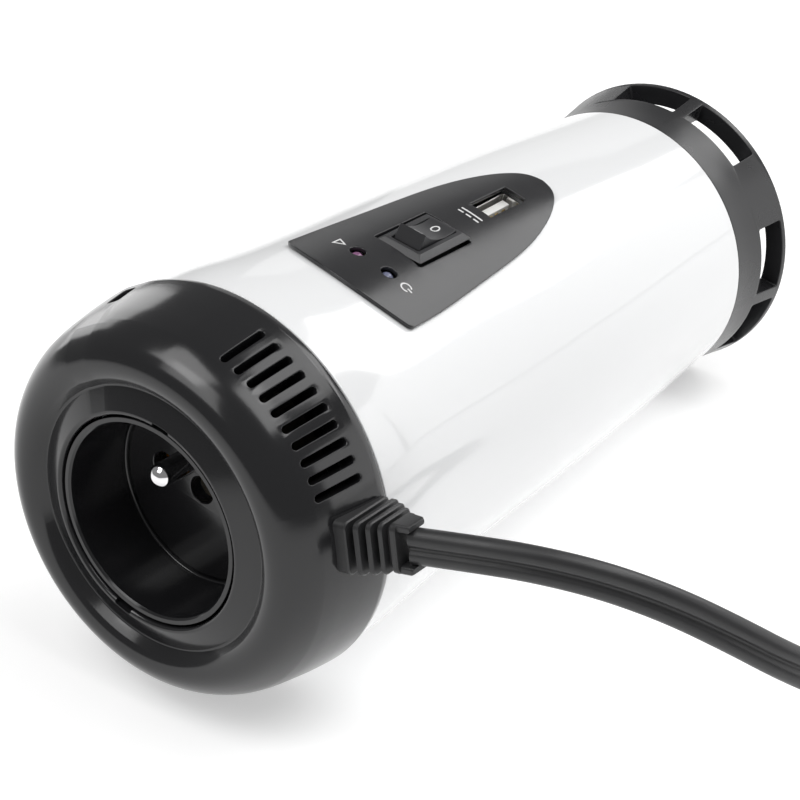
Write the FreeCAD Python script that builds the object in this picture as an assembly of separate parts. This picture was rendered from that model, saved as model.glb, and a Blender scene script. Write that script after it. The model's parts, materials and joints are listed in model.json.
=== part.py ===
import FreeCAD, Part
import math
import os
from FreeCAD import Placement, Rotation, Vector

# A cup-holder power inverter lying on its side: a can with a mains socket in its cap,
# a base ring with windows, a control panel on top and a lead that ends in a 12 V plug.
# The can is built along +Y from the socket's lip (y = 0) to the base rim, with Z up,
# and then laid on the floor, where its cap and its base rim touch the surface z = 0.
# All lengths are in millimetres and all angles in degrees.

os.makedirs("parts", exist_ok=True)

# ---- the can: curves are (distance along the axis, radius) -------------------------------
WALL = 2.0
CLEAR = 0.1
SEAM_Y = 22.6
RING_Y = 161.2
CAN_LENGTH = 179.2
LIP_R = 21.3
CREASE = (2.0, 26.7)
CAP_CURVE = [CREASE, (0.1, 28.5), (-0.6, 31.2), (0.5, 33.9), (2.9, 36.1), (6.5, 37.9),
             (11.0, 38.9), (16.0, 39.7), (20.6, 40.2)]
CAP_SEAM_R = 39.6
CAP_INSIDE = [(26.4, 35.6), (8.5, 35.6), (4.6, 34.0), (2.2, 31.2), (4.4, 26.7), (5.0, 23.6)]
LIP_DEPTH = 5.0
SPIGOT_R = 37.2
SPIGOT_END_Y = 26.4
BODY_CURVE = [(SEAM_Y + 0.25, 39.35), (30.0, 39.45), (37.0, 39.05), (46.0, 38.35), (58.0, 37.6),
              (78.0, 36.8), (106.0, 35.7), (133.0, 34.2), (151.0, 32.85), (RING_Y - 0.15, 32.1)]
RING_CURVE = [(RING_Y, 31.9), (165.0, 32.0), (170.0, 32.5), (175.0, 33.25), (CAN_LENGTH, 33.9)]
RING_BORE = 29.4

# ---- how parts are turned about the can's axis, from straight up towards +X ----------------
PANEL_ANGLE = 16.0
SOCKET_ANGLE = 12.0
VENT_ANGLES = (43.75, -136.25)
SIDE_WINDOW_ANGLE = -28.5
RELIEF_ANGLE = 81.5
WINDOW_ANGLE = 13.5

# ---- mains socket ----------------------------------------------------------------------------
INSERT_R = 20.8
RECESS_R = 19.5
RECESS_RIM_Y = 0.7
RECESS_FLOOR_Y = 15.8
FLOOR_THICK = 3.0
FLANGE_R = 24.5
PIN_R = 2.4
PIN_OFFSET = 10.0
PIN_TIP_Y = 0.9
PIN_END_Y = 33.0
PIN_STEM_R = 1.9
CONTACT_HOLE_R = 2.75
CONTACT_OFFSET = 9.5
CONTACT_SPAN = (19.4, 28.6)
BLOCK_R = 18.5
BLOCK_END_Y = 31.0
KEY_NOTCH = (3.9, 0.9)

# ---- vents and windows -------------------------------------------------------------------------
VENT_COUNT = 10
VENT_PITCH = 5.06
VENT_WIDTH = 1.5
VENT_SPAN = (6.7, 17.3)
SIDE_WINDOW_SPAN = (13.0, 18.4)
SIDE_WINDOW_HALF = 1.75
WINDOW_SPAN = (170.5, 178.0)
WINDOW_WIDTH = 28.25
RIB_WIDTH = 5.5

# ---- control panel, its switch and its USB port ---------------------------------------------------
PANEL_THICK = 0.9
PANEL_GAP = 0.05
PANEL_BACK_Y = 42.8
PANEL_CORNER = (15.5, 47.2)
PANEL_CORNER_R = 1.5
PANEL_SIDE = [(13.85, 71.0), (12.9, 81.5), (11.5, 92.0), (9.1, 101.0), (5.9, 107.9), (2.9, 111.1)]
PANEL_TIP_Y = 112.0
PANEL_SLOPE = 1.2
PANEL_OPENING = (11.6, 50.0, 103.5)
SWITCH_Y = 69.8
SWITCH_SEAT = 37.6
SWITCH_LEAN = 6.0
SEAT_POCKET = (5.8, 8.5)
BEZEL_HALF = (5.65, 8.35)
BEZEL_TOP_HALF = (4.4, 7.1)
BEZEL_H = 1.1
SWITCH_WINDOW_HALF = (3.4, 6.3)
SWITCH_BODY_HALF = (4.3, 7.0)
SWITCH_DEPTH = 13.0
ROCKER_HALF = (3.15, 5.4)
ROCKER_HEEL = 0.5
ROCKER_TILT = 13.0
ROCKER_PIVOT_Z = -1.5
ROCKER_VALLEY_Z = 1.4
ROCKER_PIN_R = 0.6
LED_Y = 53.7
LED_ANGLE = 5.8
LED_R = 1.5
USB_Y = 95.5
USB_HALF = (2.56, 6.25)
USB_WALL = 0.3
USB_DEPTH = 14.0
USB_MOUTH_Z = 35.2

# ---- inside the can ----------------------------------------------------------------------------
BOARD_TOP = -12.4
BOARD_THICK = 1.6
BOARD_HALF = 26.0
BOARD_SPAN = (42.0, 142.0)
FAN_SPAN = (148.6, 158.6)
FAN_HALF = 20.0
FAN_BORE_R = 18.8
FAN_TIP_R = 18.1
FAN_HUB_R = 9.6
FAN_BLADES = 7
FAN_HOLE_OFFSET = 16.0
PLATE_SPAN = (159.6, 161.4)
PLATE_R = 28.4
LEDGE_R = 26.9

# ---- strain relief, cord and 12 V plug -------------------------------------------------------------
# each rib of the strain relief: inner and outer radius, start and end along the can, height
RELIEF_RIBS = [(32.8, 34.8, 7.6, 23.4, 12.5), (36.0, 40.9, 8.6, 21.8, 10.5),
               (41.9, 43.1, 9.4, 21.8, 10.5), (43.9, 45.0, 10.4, 21.1, 10.3),
               (45.8, 46.8, 11.4, 20.2, 10.1), (47.6, 50.0, 12.4, 19.2, 9.6)]
RELIEF_CORE = (30.0, 49.0, 13.3, 18.3, 8.2)
CORD_THICK = 3.8
CORD_WIDTH = 7.2
COIL_CENTRE = (146.7, 43.0)
COIL_R = 40.0
COIL_SPAN = (0.6, 8.4)
TIE = (6.0, 0.5, 0.1)
# The lead's route in the finished part's frame, from the strain relief to the coil ...
ROUTE_OUT = [(49.5, -73.2, 47.7), (59.7, -71.2, 49.2), (71.0, -67.1, 49.4), (81.7, -61.1, 47.0),
             (91.3, -53.9, 41.9), (99.4, -46.1, 34.8), (105.7, -37.7, 26.8), (110.3, -27.8, 18.8),
             (112.6, -16.9, 11.6), (112.8, -5.1, 6.2), (111.2, 7.0, 3.2), (108.9, 19.1, 2.2),
             (107.2, 31.0, 2.3), (106.7, 43.0, 2.5)]
# ... and from the coil to the plug.
ROUTE_IN = [(186.7, 43.0, 6.5), (187.0, 34.5, 6.8), (187.1, 25.8, 8.4), (187.1, 17.0, 11.0),
            (187.0, 8.3, 12.9)]

# ---- 12 V plug: curves are (distance from its rear, radius) ---------------------------------------
PLUG_X = 187.0
PLUG_REAR_Y = -6.0
PLUG_AXIS_Z = 13.05
PLUG_CURVE = [(0.0, 7.4), (8.0, 10.4), (20.0, 12.6), (30.0, 13.0), (38.0, 12.3), (43.0, 10.9)]
PLUG_BARREL = (45.0, 72.0, 10.4)
PLUG_WALL = 1.8
PLUG_TIP = (3.2, 86.5)
PLUG_SPLIT = 0.05
PLUG_BOOT = [(-14.0, 2.9), (-7.0, 4.4), (-0.1, 6.6)]
PLUG_NOSE_END = 79.0
PLUG_FUSE = (41.0, 71.0, 3.15)
PLUG_SPRING = (33.2, 37.2, 2.6, 0.4)
PLUG_CONTACT = (52.0, 60.5, 69.0)
PLUG_CONTACT_WIDTH = 4.0
PLUG_SCREW_Y = 22.0
PLUG_LENS_Y = 14.0
WIRE_R = 0.9


def revolve(edges, turn=360):
    """Turn a closed outline in the plane x = 0, given as (y, r), about the Y axis."""
    face = Part.Face(Part.Wire(Part.__sortEdges__(edges)))
    return face.revolve(Vector(0, 0, 0), Vector(0, 1, 0), turn)


def spline(points):
    """A smooth edge through (y, r) points."""
    curve = Part.BSplineCurve()
    curve.interpolate([Vector(0, y, r) for y, r in points])
    return curve.toShape()


def lines(points):
    """Straight edges through (y, r) points."""
    places = [Vector(0, y, r) for y, r in points]
    return [Part.makeLine(a, b) for a, b in zip(places, places[1:])]


def closed_lines(points):
    return lines(list(points) + [points[0]])


def disc(y0, y1, r, hole=0.0):
    """A round plate about the Y axis, with an optional hole."""
    plate = Part.makeCylinder(r, y1 - y0, Vector(0, y0, 0), Vector(0, 1, 0))
    if hole:
        plate = plate.cut(Part.makeCylinder(hole, y1 - y0 + 2, Vector(0, y0 - 1, 0), Vector(0, 1, 0)))
    return plate


def rod(r, start, end):
    """A cylinder of radius r between two points."""
    a, b = Vector(*start), Vector(*end)
    return Part.makeCylinder(r, (b - a).Length, a, b - a)


def block(half_x, y0, y1, z0, z1, x=0.0):
    """A box centred on x, from y0 to y1 and from z0 to z1."""
    return Part.makeBox(2 * half_x, y1 - y0, z1 - z0, Vector(x - half_x, y0, z0))


def frustum(half0, z0, half1, z1):
    """A four-sided taper about the Z axis, with half widths (x, y) at two heights."""
    def ring(half, z):
        hx, hy = half
        corners = [(-hx, -hy), (hx, -hy), (hx, hy), (-hx, hy), (-hx, -hy)]
        return Part.makePolygon([Vector(x, y, z) for x, y in corners])
    return Part.makeLoft([ring(half0, z0), ring(half1, z1)], True, True)


def rounded(shape, radius, pick):
    """Round the edges of a shape that pick() chooses by their midpoint and direction."""
    chosen = []
    for edge in shape.Edges:
        low, high = edge.ParameterRange
        middle = edge.valueAt((low + high) / 2)
        if pick(middle, edge.tangentAt((low + high) / 2)):
            chosen.append(edge)
    return shape.makeFillet(radius, chosen)


def turned(shape, angle):
    """A copy turned about the can's axis, from straight up towards +X."""
    copy = shape.copy()
    copy.rotate(Vector(0, 0, 0), Vector(0, 1, 0), angle)
    return copy


def moved(shape, x, y, z):
    copy = shape.copy()
    copy.translate(Vector(x, y, z))
    return copy


def joined(shapes):
    """One solid out of several that overlap or touch."""
    return shapes[0].multiFuse(shapes[1:]).removeSplitter()


def radius_at(curve, y):
    """Radius of a curve at y, by straight interpolation."""
    for (y0, r0), (y1, r1) in zip(curve, curve[1:]):
        if y0 <= y <= y1:
            return r0 + (r1 - r0) * (y - y0) / (y1 - y0)
    raise ValueError(y)


# ---- laying the can on the floor -----------------------------------------------------------------

def reach(curve, tilt):
    """How far below the axis a curve reaches when the axis sinks towards +Y by tilt degrees."""
    t = math.radians(tilt)
    return max(r * math.cos(t) + y * math.sin(t) for y, r in curve)


def resting_tilt():
    """The tilt at which the cap and the base rim both touch the floor."""
    low, high = 0.0, 5.0
    for _ in range(50):
        middle = (low + high) / 2
        if reach(CAP_CURVE, middle) > reach(RING_CURVE, middle):
            low = middle
        else:
            high = middle
    return (low + high) / 2


TILT = resting_tilt()
LIFT = reach(CAP_CURVE, TILT)
FRONT_Y = min(y * math.cos(math.radians(TILT)) - r * math.sin(math.radians(TILT)) for y, r in CAP_CURVE)
BACK_Y = (CAN_LENGTH * math.cos(math.radians(TILT))
          + RING_CURVE[-1][1] * math.sin(math.radians(TILT)))
SHIFT_Y = -(FRONT_Y + BACK_Y) / 2


def laid(shape):
    """From the can's own frame to the frame of the finished part."""
    copy = shape.copy()
    copy.rotate(Vector(0, 0, 0), Vector(1, 0, 0), -TILT)
    copy.translate(Vector(0, SHIFT_Y, LIFT))
    return copy


def on_panel(shape):
    """From the switch seat's frame to the can's frame."""
    copy = shape.copy()
    copy.rotate(Vector(0, 0, 0), Vector(0, 1, 0), -SWITCH_LEAN)
    copy.rotate(Vector(0, 0, 0), Vector(1, 0, 0), -PANEL_SLOPE)
    copy.translate(Vector(0, SWITCH_Y, SWITCH_SEAT))
    return turned(copy, PANEL_ANGLE)


# ---- shell, cap and ring ----------------------------------------------------------------------------

def vent_slots():
    """Slots with round ends that run along the can, in two rows on the cap's side."""
    y0, y1 = VENT_SPAN
    half = VENT_WIDTH / 2
    slot = block(half, y0 + half, y1 - half, 30.0, 45.0)
    for end in (y0 + half, y1 - half):
        slot = slot.fuse(rod(half, (0, end, 30.0), (0, end, 45.0)))
    slots = []
    for row in VENT_ANGLES:
        for k in range(VENT_COUNT):
            slots.append(turned(slot, row + (k - (VENT_COUNT - 1) / 2) * VENT_PITCH))
    return slots


def side_window():
    """A small window in the cap's side, on the other side of the top from the vents."""
    y0, y1 = SIDE_WINDOW_SPAN
    window = block(SIDE_WINDOW_HALF, y0, y1, 30.0, 45.0)
    return turned(rounded(window, 0.8, lambda middle, way: abs(way.z) > 0.9), SIDE_WINDOW_ANGLE)


def relief_box(inner, outer, y0, y1, tall):
    """A box of the strain relief, set radially at its place on the cap's side."""
    return turned(block(tall / 2, y0, y1, inner, outer), RELIEF_ANGLE)


def insert_screw_places():
    """Three screws through the socket insert's flange into the back of the lip."""
    angles = [math.radians(SOCKET_ANGLE + 60.0 + 120.0 * k) for k in range(3)]
    return [(22.7 * math.sin(a), 22.7 * math.cos(a)) for a in angles]


def socket_cap():
    edge = (SEAM_Y - 0.1, CAP_SEAM_R)
    outside = [spline(CAP_CURVE)] + lines([CAP_CURVE[-1], edge, (edge[0], SPIGOT_R),
                                           (SPIGOT_END_Y, SPIGOT_R)] + CAP_INSIDE
                                          + [(LIP_DEPTH, LIP_R), (0.5, LIP_R), (0.0, LIP_R + 0.4), CREASE])
    cap = revolve(outside)
    notch_width, notch_depth = KEY_NOTCH
    notch = block(notch_width / 2, -1.0, LIP_DEPTH + 1, LIP_R - 1, LIP_R + notch_depth)
    tools = [turned(notch, SOCKET_ANGLE), turned(notch, SOCKET_ANGLE + 185.0)]
    tools += vent_slots() + [side_window()]
    y0, y1, tall = RELIEF_RIBS[1][2:]
    tools.append(relief_box(30.0, 45.0, y0 - CLEAR, y1 + CLEAR, tall + 2 * CLEAR))
    tools += [rod(0.95, (x, 2.6, z), (x, 8.0, z)) for x, z in insert_screw_places()]
    return cap.cut(tools)


def body_space(grow):
    """The can's inside, grown outwards by grow."""
    inner = [(y, r - WALL + grow) for y, r in BODY_CURVE]
    return revolve([spline(inner)] + lines([inner[-1], (inner[-1][0], 0.0), (inner[0][0], 0.0), inner[0]]))


def board_rails():
    """Grooved rails on both sides of the can's inside, which hold the board's edges."""
    y0, y1 = BOARD_SPAN
    rails = []
    for side in (-1, 1):
        rail = block(5.5, y0 + 2, y1 - 2, BOARD_TOP - BOARD_THICK - 2.0, BOARD_TOP + 2.0, side * 30.0)
        groove = block(BOARD_HALF + 0.3, y0, y1, BOARD_TOP - BOARD_THICK - CLEAR, BOARD_TOP + CLEAR)
        rail = rail.common(body_space(0.4)).cut(groove)
        rails.append(turned(rail, PANEL_ANGLE))
    return rails


def panel_opening():
    """The hole in the can below the panel, for the switch, the lights and the USB port."""
    half, y0, y1 = PANEL_OPENING
    hole = block(half, y0, USB_Y - 9.0, 25.0, 45.0)
    hole = hole.fuse(block(6.0, y0 + 5, y1, 25.0, 45.0))
    return turned(hole, PANEL_ANGLE)


def body_shell():
    inner_end = (BODY_CURVE[-1][0], BODY_CURVE[-1][1] - WALL)
    inner = [(y, r - WALL) for y, r in BODY_CURVE[1:]]
    mouth = [(inner[0][0], SPIGOT_R + CLEAR), (BODY_CURVE[0][0], SPIGOT_R + CLEAR), BODY_CURVE[0]]
    shell = revolve([spline(BODY_CURVE)] + lines([BODY_CURVE[-1], inner_end]) + [spline(inner)]
                    + lines([inner[0]] + mouth))
    return joined([shell] + board_rails()).cut(panel_opening())


def wedge(angle, width, y0, y1, r0, r1):
    """A piece of a ring about the can's axis, width degrees wide, centred on angle."""
    outline = closed_lines([(y0, r0), (y1, r0), (y1, r1), (y0, r1)])
    return turned(revolve(outline, width), angle - width / 2)


def base_ring():
    end = CAN_LENGTH
    inside = [(end, RING_BORE), (164.0, RING_BORE), (163.4, LEDGE_R), (161.9, LEDGE_R),
              (161.9, PLATE_R + CLEAR), (156.0, PLATE_R + CLEAR), (156.0, 30.15), (RING_Y, 29.95),
              RING_CURVE[0]]
    ring = revolve([spline(RING_CURVE)] + lines([RING_CURVE[-1]] + inside))
    tools = []
    y0, y1 = WINDOW_SPAN
    for pair in range(4):
        for side in (-1, 1):
            angle = WINDOW_ANGLE + 90.0 * pair + side * (WINDOW_WIDTH + RIB_WIDTH) / 2
            tools.append(wedge(angle, WINDOW_WIDTH, y0, y1, 25.0, 40.0))
    return ring.cut(tools)


def base_plate():
    """The end plate behind the fan, with a guard of ring-shaped gaps and four screw holes."""
    y0, y1 = PLATE_SPAN
    plate = disc(y0, y1, PLATE_R)
    spokes = [turned(block(1.2, y0 - 1, y1 + 1, -30.0, 30.0), a) for a in (30.0, 90.0, 150.0)]
    for r in (6.0, 9.6, 13.2, 16.8):
        gap = disc(y0 - 0.5, y1 + 0.5, r + 2.2, r)
        plate = plate.cut(gap.cut(spokes))
    holes = [rod(1.6, (x, y0 - 1, z), (x, y1 + 1, z)) for x, z in fan_corners()]
    return plate.cut(holes)


# ---- mains socket -----------------------------------------------------------------------------------

def around_socket(shape):
    return turned(shape, SOCKET_ANGLE)


def contact_places():
    return [(-CONTACT_OFFSET, 0.0), (CONTACT_OFFSET, 0.0)]


def socket_insert():
    """The recess's round wall, with a flange that sits behind the cap's lip."""
    outline = closed_lines([(RECESS_RIM_Y, RECESS_R + 0.4), (RECESS_RIM_Y + 0.4, RECESS_R),
                            (RECESS_FLOOR_Y - 0.05, RECESS_R), (RECESS_FLOOR_Y - 0.05, INSERT_R),
                            (7.2, INSERT_R), (7.2, FLANGE_R), (LIP_DEPTH + 0.1, FLANGE_R),
                            (LIP_DEPTH + 0.1, INSERT_R), (RECESS_RIM_Y, INSERT_R)])
    screws = [rod(0.95, (x, 4.0, z), (x, 8.0, z)) for x, z in insert_screw_places()]
    return revolve(outline).cut(screws)


def socket_floor():
    """The recess's floor, with holes for the two contacts, the earth pin and the screw."""
    y0, y1 = RECESS_FLOOR_Y, RECESS_FLOOR_Y + FLOOR_THICK
    tools = [rod(CONTACT_HOLE_R, (x, y0 - 1, z), (x, y1 + 1, z)) for x, z in contact_places()]
    tools.append(rod(PIN_STEM_R + 0.05, (0, y0 - 1, PIN_OFFSET), (0, y1 + 1, PIN_OFFSET)))
    tools.append(rod(2.7, (0, y0 - 1, 0), (0, y1 + 1, 0)))
    return around_socket(disc(y0, y1, INSERT_R).cut(tools))


def insert_screws():
    screws = []
    for x, z in insert_screw_places():
        head = rod(1.6, (x, 7.25, z), (x, 8.3, z)).cut(block(1.0, 7.8, 9.0, z - 0.25, z + 0.25, x))
        screws.append(joined([head, rod(0.9, (x, 2.7, z), (x, 7.4, z))]))
    return Part.makeCompound(screws)


def contact_block():
    y0, y1 = RECESS_FLOOR_Y + FLOOR_THICK + 0.05, BLOCK_END_Y
    base = disc(y0, y1, BLOCK_R)
    tools = [rod(4.0, (x, y0 - 1, z), (x, CONTACT_SPAN[1] + 0.2, z)) for x, z in contact_places()]
    tools += [block(1.6, 28.0, y1 + 1, -0.5, 0.5, x) for x, z in contact_places()]
    tools.append(rod(PIN_STEM_R + 0.05, (0, y0 - 1, PIN_OFFSET), (0, y1 + 1, PIN_OFFSET)))
    tools.append(rod(2.75, (0, y0 - 1, 0), (0, y0 + 4.0, 0)))
    tools.append(rod(1.55, (0, y0, 0), (0, y1 + 1, 0)))
    return around_socket(base.cut(tools))


def earth_pin():
    nose = 1.9
    outline = [spline([(PIN_TIP_Y, 0.0), (PIN_TIP_Y + 0.25, 1.1), (PIN_TIP_Y + 0.8, 1.85),
                       (PIN_TIP_Y + nose, PIN_R)])]
    shoulder = RECESS_FLOOR_Y - 0.05
    outline += lines([(PIN_TIP_Y + nose, PIN_R), (shoulder, PIN_R), (shoulder, PIN_STEM_R),
                      (PIN_END_Y, PIN_STEM_R), (PIN_END_Y, 0.0), (PIN_TIP_Y, 0.0)])
    pin = joined([revolve(outline), disc(BLOCK_END_Y + 0.1, BLOCK_END_Y + 1.3, 4.2, 1.8)])
    return around_socket(moved(pin, 0, 0, PIN_OFFSET))


def contacts():
    """Two slit sleeves that grip a plug's pins, each with a solder tail behind the block."""
    y0, y1 = CONTACT_SPAN
    sleeves = []
    for x, z in contact_places():
        sleeve = disc(y0, y1, 3.6, 2.8).cut(block(0.5, y0 - 1, y1 - 2, -5, 5))
        sleeve = sleeve.cut(block(5.0, y0 - 1, y1 - 2, -0.5, 0.5))
        back = disc(y1 - 1.2, y1, 3.0)
        tail = block(1.4, y1 - 0.5, 36.0, -0.4, 0.4)
        sleeves.append(around_socket(moved(joined([sleeve, back, tail]), x, 0, z)))
    return Part.makeCompound(sleeves)


def socket_screw():
    """The countersunk screw in the middle of the recess, deep in its hole."""
    y0 = RECESS_FLOOR_Y + FLOOR_THICK + 1.6
    head = revolve(closed_lines([(y0, 0.0), (y0, 2.2), (y0 + 0.5, 2.5), (y0 + 2.2, 2.5), (y0 + 2.2, 0.0)]))
    slots = [block(0.35, y0 - 1, y0 + 1.0, -1.6, 1.6), block(1.6, y0 - 1, y0 + 1.0, -0.35, 0.35)]
    shank = disc(y0 + 2.0, BLOCK_END_Y + 3.4, 1.5)
    return around_socket(joined([head, shank]).cut(slots))


def socket_nut():
    """A hexagonal nut on the socket's screw, behind the contact block."""
    corners = [Vector(3.2 * math.cos(math.radians(60 * k)), BLOCK_END_Y + 0.05,
                      3.2 * math.sin(math.radians(60 * k))) for k in range(7)]
    nut = Part.Face(Part.makePolygon(corners)).extrude(Vector(0, 2.4, 0))
    return around_socket(nut.cut(rod(1.52, (0, BLOCK_END_Y - 1, 0), (0, BLOCK_END_Y + 5, 0))))


# ---- control panel ------------------------------------------------------------------------------------

def panel_outline(z):
    """The panel's outline: a bowed back edge, two long sides and a rounded point."""
    right = [Vector(x, y, z) for x, y in PANEL_SIDE]
    left = [Vector(-x, y, z) for x, y in reversed(PANEL_SIDE)]
    corner_x, corner_y = PANEL_CORNER
    back_right = Vector(corner_x, corner_y, z)
    back_left = Vector(-corner_x, corner_y, z)
    back = Part.Arc(back_left, Vector(0, PANEL_BACK_Y, z), back_right)
    nose = Part.BSplineCurve()
    nose.interpolate(right + [Vector(0, PANEL_TIP_Y, z)] + left)
    edges = [back.toShape(), Part.makeLine(back_right, right[0]),
             nose.toShape(), Part.makeLine(left[-1], back_left)]
    return Part.Wire(edges)


def panel_skin(low, high):
    """A layer over the can's outside, from low to high above its surface."""
    part = [point for point in BODY_CURVE if 35.0 < point[0] < 135.0]
    skins = []
    for rise in (high, low):
        curve = [(y, r + rise) for y, r in part]
        outline = [spline(curve)] + lines([curve[-1], (curve[-1][0], 0.0), (curve[0][0], 0.0), curve[0]])
        skins.append(revolve(outline))
    return skins[0].cut(skins[1])


def control_panel():
    prism = Part.Face(panel_outline(20.0)).extrude(Vector(0, 0, 25.0))
    prism = rounded(prism, PANEL_CORNER_R,
                    lambda middle, way: abs(way.z) > 0.9 and middle.y < PANEL_CORNER[1] + 0.1)
    panel = panel_skin(PANEL_GAP, PANEL_GAP + PANEL_THICK).common(prism)
    half_x, half_y = SEAT_POCKET
    pad = frustum((half_x + 0.8, half_y + 0.8), -1.9, (half_x + 0.8, half_y + 0.8), 1.0)
    pocket = block(half_x, -half_y, half_y, 0.0, 8.0)
    hole = block(SWITCH_BODY_HALF[0] + 0.15, -SWITCH_BODY_HALF[1] - 0.15, SWITCH_BODY_HALF[1] + 0.15, -8, 8)
    pad, pocket, hole = [turned(on_panel(piece), -PANEL_ANGLE) for piece in (pad, pocket, hole)]
    pad = pad.common(panel_skin(-4.0, PANEL_GAP + PANEL_THICK))
    legs = [block(0.8, 79.0, 83.0, 31.4, 35.9, side * 10.3) for side in (-1, 1)]
    hooks = [block(0.7, 79.0, 83.0, 31.4, 32.2, side * 11.7) for side in (-1, 1)]
    panel = joined([panel, pad] + legs + hooks).cut([pocket, hole])
    usb_x, usb_y = USB_HALF
    tools = [block(usb_x + 0.1, USB_Y - usb_y - 0.1, USB_Y + usb_y + 0.1, 25.0, 45.0)]
    for side in (-1, 1):
        hole = rod(LED_R + 0.1, (0, LED_Y, 30.0), (0, LED_Y, 45.0))
        tools.append(turned(hole, side * LED_ANGLE))
    return turned(panel.cut(tools), PANEL_ANGLE)


def light(side):
    """A 3 mm light-emitting diode whose dome ends just below the panel's surface."""
    top = radius_at(BODY_CURVE, LED_Y) + PANEL_THICK - 0.4
    dome = Part.makeSphere(LED_R, Vector(0, LED_Y, top - LED_R))
    column = rod(LED_R, (0, LED_Y, top - 4.6), (0, LED_Y, top - LED_R))
    skirt = rod(LED_R + 0.45, (0, LED_Y, top - 5.2), (0, LED_Y, top - 4.2))
    legs = [rod(0.25, (0, LED_Y + y, 28.3), (0, LED_Y + y, top - 5.0)) for y in (-1.27, 1.27)]
    return turned(joined([dome, column, skirt] + legs), PANEL_ANGLE + side * LED_ANGLE)


def led_board():
    return turned(block(7.0, LED_Y - 4.5, LED_Y + 4.5, 26.8, 28.0), PANEL_ANGLE)


def switch_frame():
    bezel = frustum(BEZEL_HALF, 0.02, BEZEL_TOP_HALF, BEZEL_H)
    hx, hy = SWITCH_BODY_HALF
    wx, wy = SWITCH_WINDOW_HALF
    housing = block(hx, -hy, hy, -SWITCH_DEPTH, 0.5)
    cavity = block(wx, -wy, wy, -SWITCH_DEPTH + 2.0, 3.0)
    pivot = rod(ROCKER_PIN_R + 0.02, (-hx - 1, 0, ROCKER_PIVOT_Z), (hx + 1, 0, ROCKER_PIVOT_Z))
    slots = [block(1.6, y - 0.45, y + 0.45, -SWITCH_DEPTH - 1, -SWITCH_DEPTH + 3) for y in (-4.5, 0.0, 4.5)]
    return on_panel(joined([bezel, housing]).cut([cavity, pivot] + slots))


def rocker():
    """The rocker, built level about its pivot and then tipped so that its +Y half is down."""
    hx, hy = ROCKER_HALF
    top = ROCKER_VALLEY_Z + hy * math.tan(math.radians(ROCKER_TILT))
    hollow = Part.Arc(Vector(0, -hy, top), Vector(0, 0, ROCKER_VALLEY_Z), Vector(0, hy, top)).toShape()
    heel = hy + ROCKER_HEEL
    sides = lines([(hy, top), (heel, -0.6), (3.0, -4.0), (-3.0, -4.0), (-heel, -0.6), (-hy, top)])
    face = Part.Face(Part.Wire([hollow] + sides))
    solid = moved(face.extrude(Vector(2 * hx, 0, 0)), -hx, 0, 0)
    solid = rounded(solid, 0.35, lambda middle, way: middle.z > top - 0.2 and abs(way.x) > 0.9)
    pin_hole = rod(ROCKER_PIN_R - 0.01, (-hx - 1, 0, ROCKER_PIVOT_Z), (hx + 1, 0, ROCKER_PIVOT_Z))
    solid = solid.cut(pin_hole)
    solid.rotate(Vector(0, 0, ROCKER_PIVOT_Z), Vector(1, 0, 0), -ROCKER_TILT)
    return on_panel(solid)


def rocker_pin():
    reach_x = SWITCH_BODY_HALF[0] - 0.2
    return on_panel(rod(ROCKER_PIN_R - 0.02, (-reach_x, 0, ROCKER_PIVOT_Z), (reach_x, 0, ROCKER_PIVOT_Z)))


def switch_terminals():
    blades = [block(1.5, y - 0.4, y + 0.4, -SWITCH_DEPTH - 6.0, -SWITCH_DEPTH + 1.9) for y in (-4.5, 0.0, 4.5)]
    return Part.makeCompound([on_panel(blade) for blade in blades])


def usb_shell():
    hx, hy = USB_HALF
    w = USB_WALL
    top, low = USB_MOUTH_Z, USB_MOUTH_Z - USB_DEPTH
    can = block(hx + w, USB_Y - hy - w, USB_Y + hy + w, low, top)
    can = can.cut(block(hx, USB_Y - hy, USB_Y + hy, low + w, top + 1))
    return turned(can, PANEL_ANGLE)


def usb_tongue():
    low = USB_MOUTH_Z - USB_DEPTH + USB_WALL
    tongue = block(0.92, USB_Y - 5.55, USB_Y + 5.55, low + 1.9, USB_MOUTH_Z - 1.0, 1.05)
    foot = block(USB_HALF[0] - 0.05, USB_Y - 6.2, USB_Y + 6.2, low + 0.02, low + 2.0)
    return turned(joined([tongue, foot]), PANEL_ANGLE)


def usb_contacts():
    low = USB_MOUTH_Z - USB_DEPTH + USB_WALL
    strips = []
    for y in (-3.5, -1.0, 1.0, 3.5):
        strips.append(turned(block(0.1, USB_Y + y - 0.5, USB_Y + y + 0.5, low + 2.1, USB_MOUTH_Z - 1.6, 0.02),
                             PANEL_ANGLE))
    return Part.makeCompound(strips)


def usb_board():
    low = USB_MOUTH_Z - USB_DEPTH
    board = block(10.0, 86.0, 106.0, low - 1.7, low - 0.1)
    coil = rod(3.0, (-6.5, 90.5, low - 4.6), (-6.5, 90.5, low - 1.65))
    chip = block(2.5, 99.0, 103.0, low - 3.2, low - 1.65, 5.5)
    return turned(joined([board, coil, chip]), PANEL_ANGLE)


# ---- electronics ----------------------------------------------------------------------------------------

def inside(shape):
    return turned(shape, PANEL_ANGLE)


def main_board():
    y0, y1 = BOARD_SPAN
    board = block(BOARD_HALF, y0, y1, BOARD_TOP - BOARD_THICK, BOARD_TOP)
    holes = [rod(1.6, (x, y, BOARD_TOP - 4), (x, y, BOARD_TOP + 2)) for x in (-22, 22) for y in (y0 + 4, y1 - 4)]
    return inside(board.cut(holes))


def transformer_core():
    """Two E-shaped ferrite halves that meet round the winding."""
    z0 = BOARD_TOP + 1.0
    core = block(15.0, 62.0, 90.0, z0, z0 + 17.0)
    for side in (-1, 1):
        core = core.cut(block(4.0, 67.0, 85.0, z0 - 1, z0 + 20.0, side * 8.5))
    return inside(core)


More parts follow.
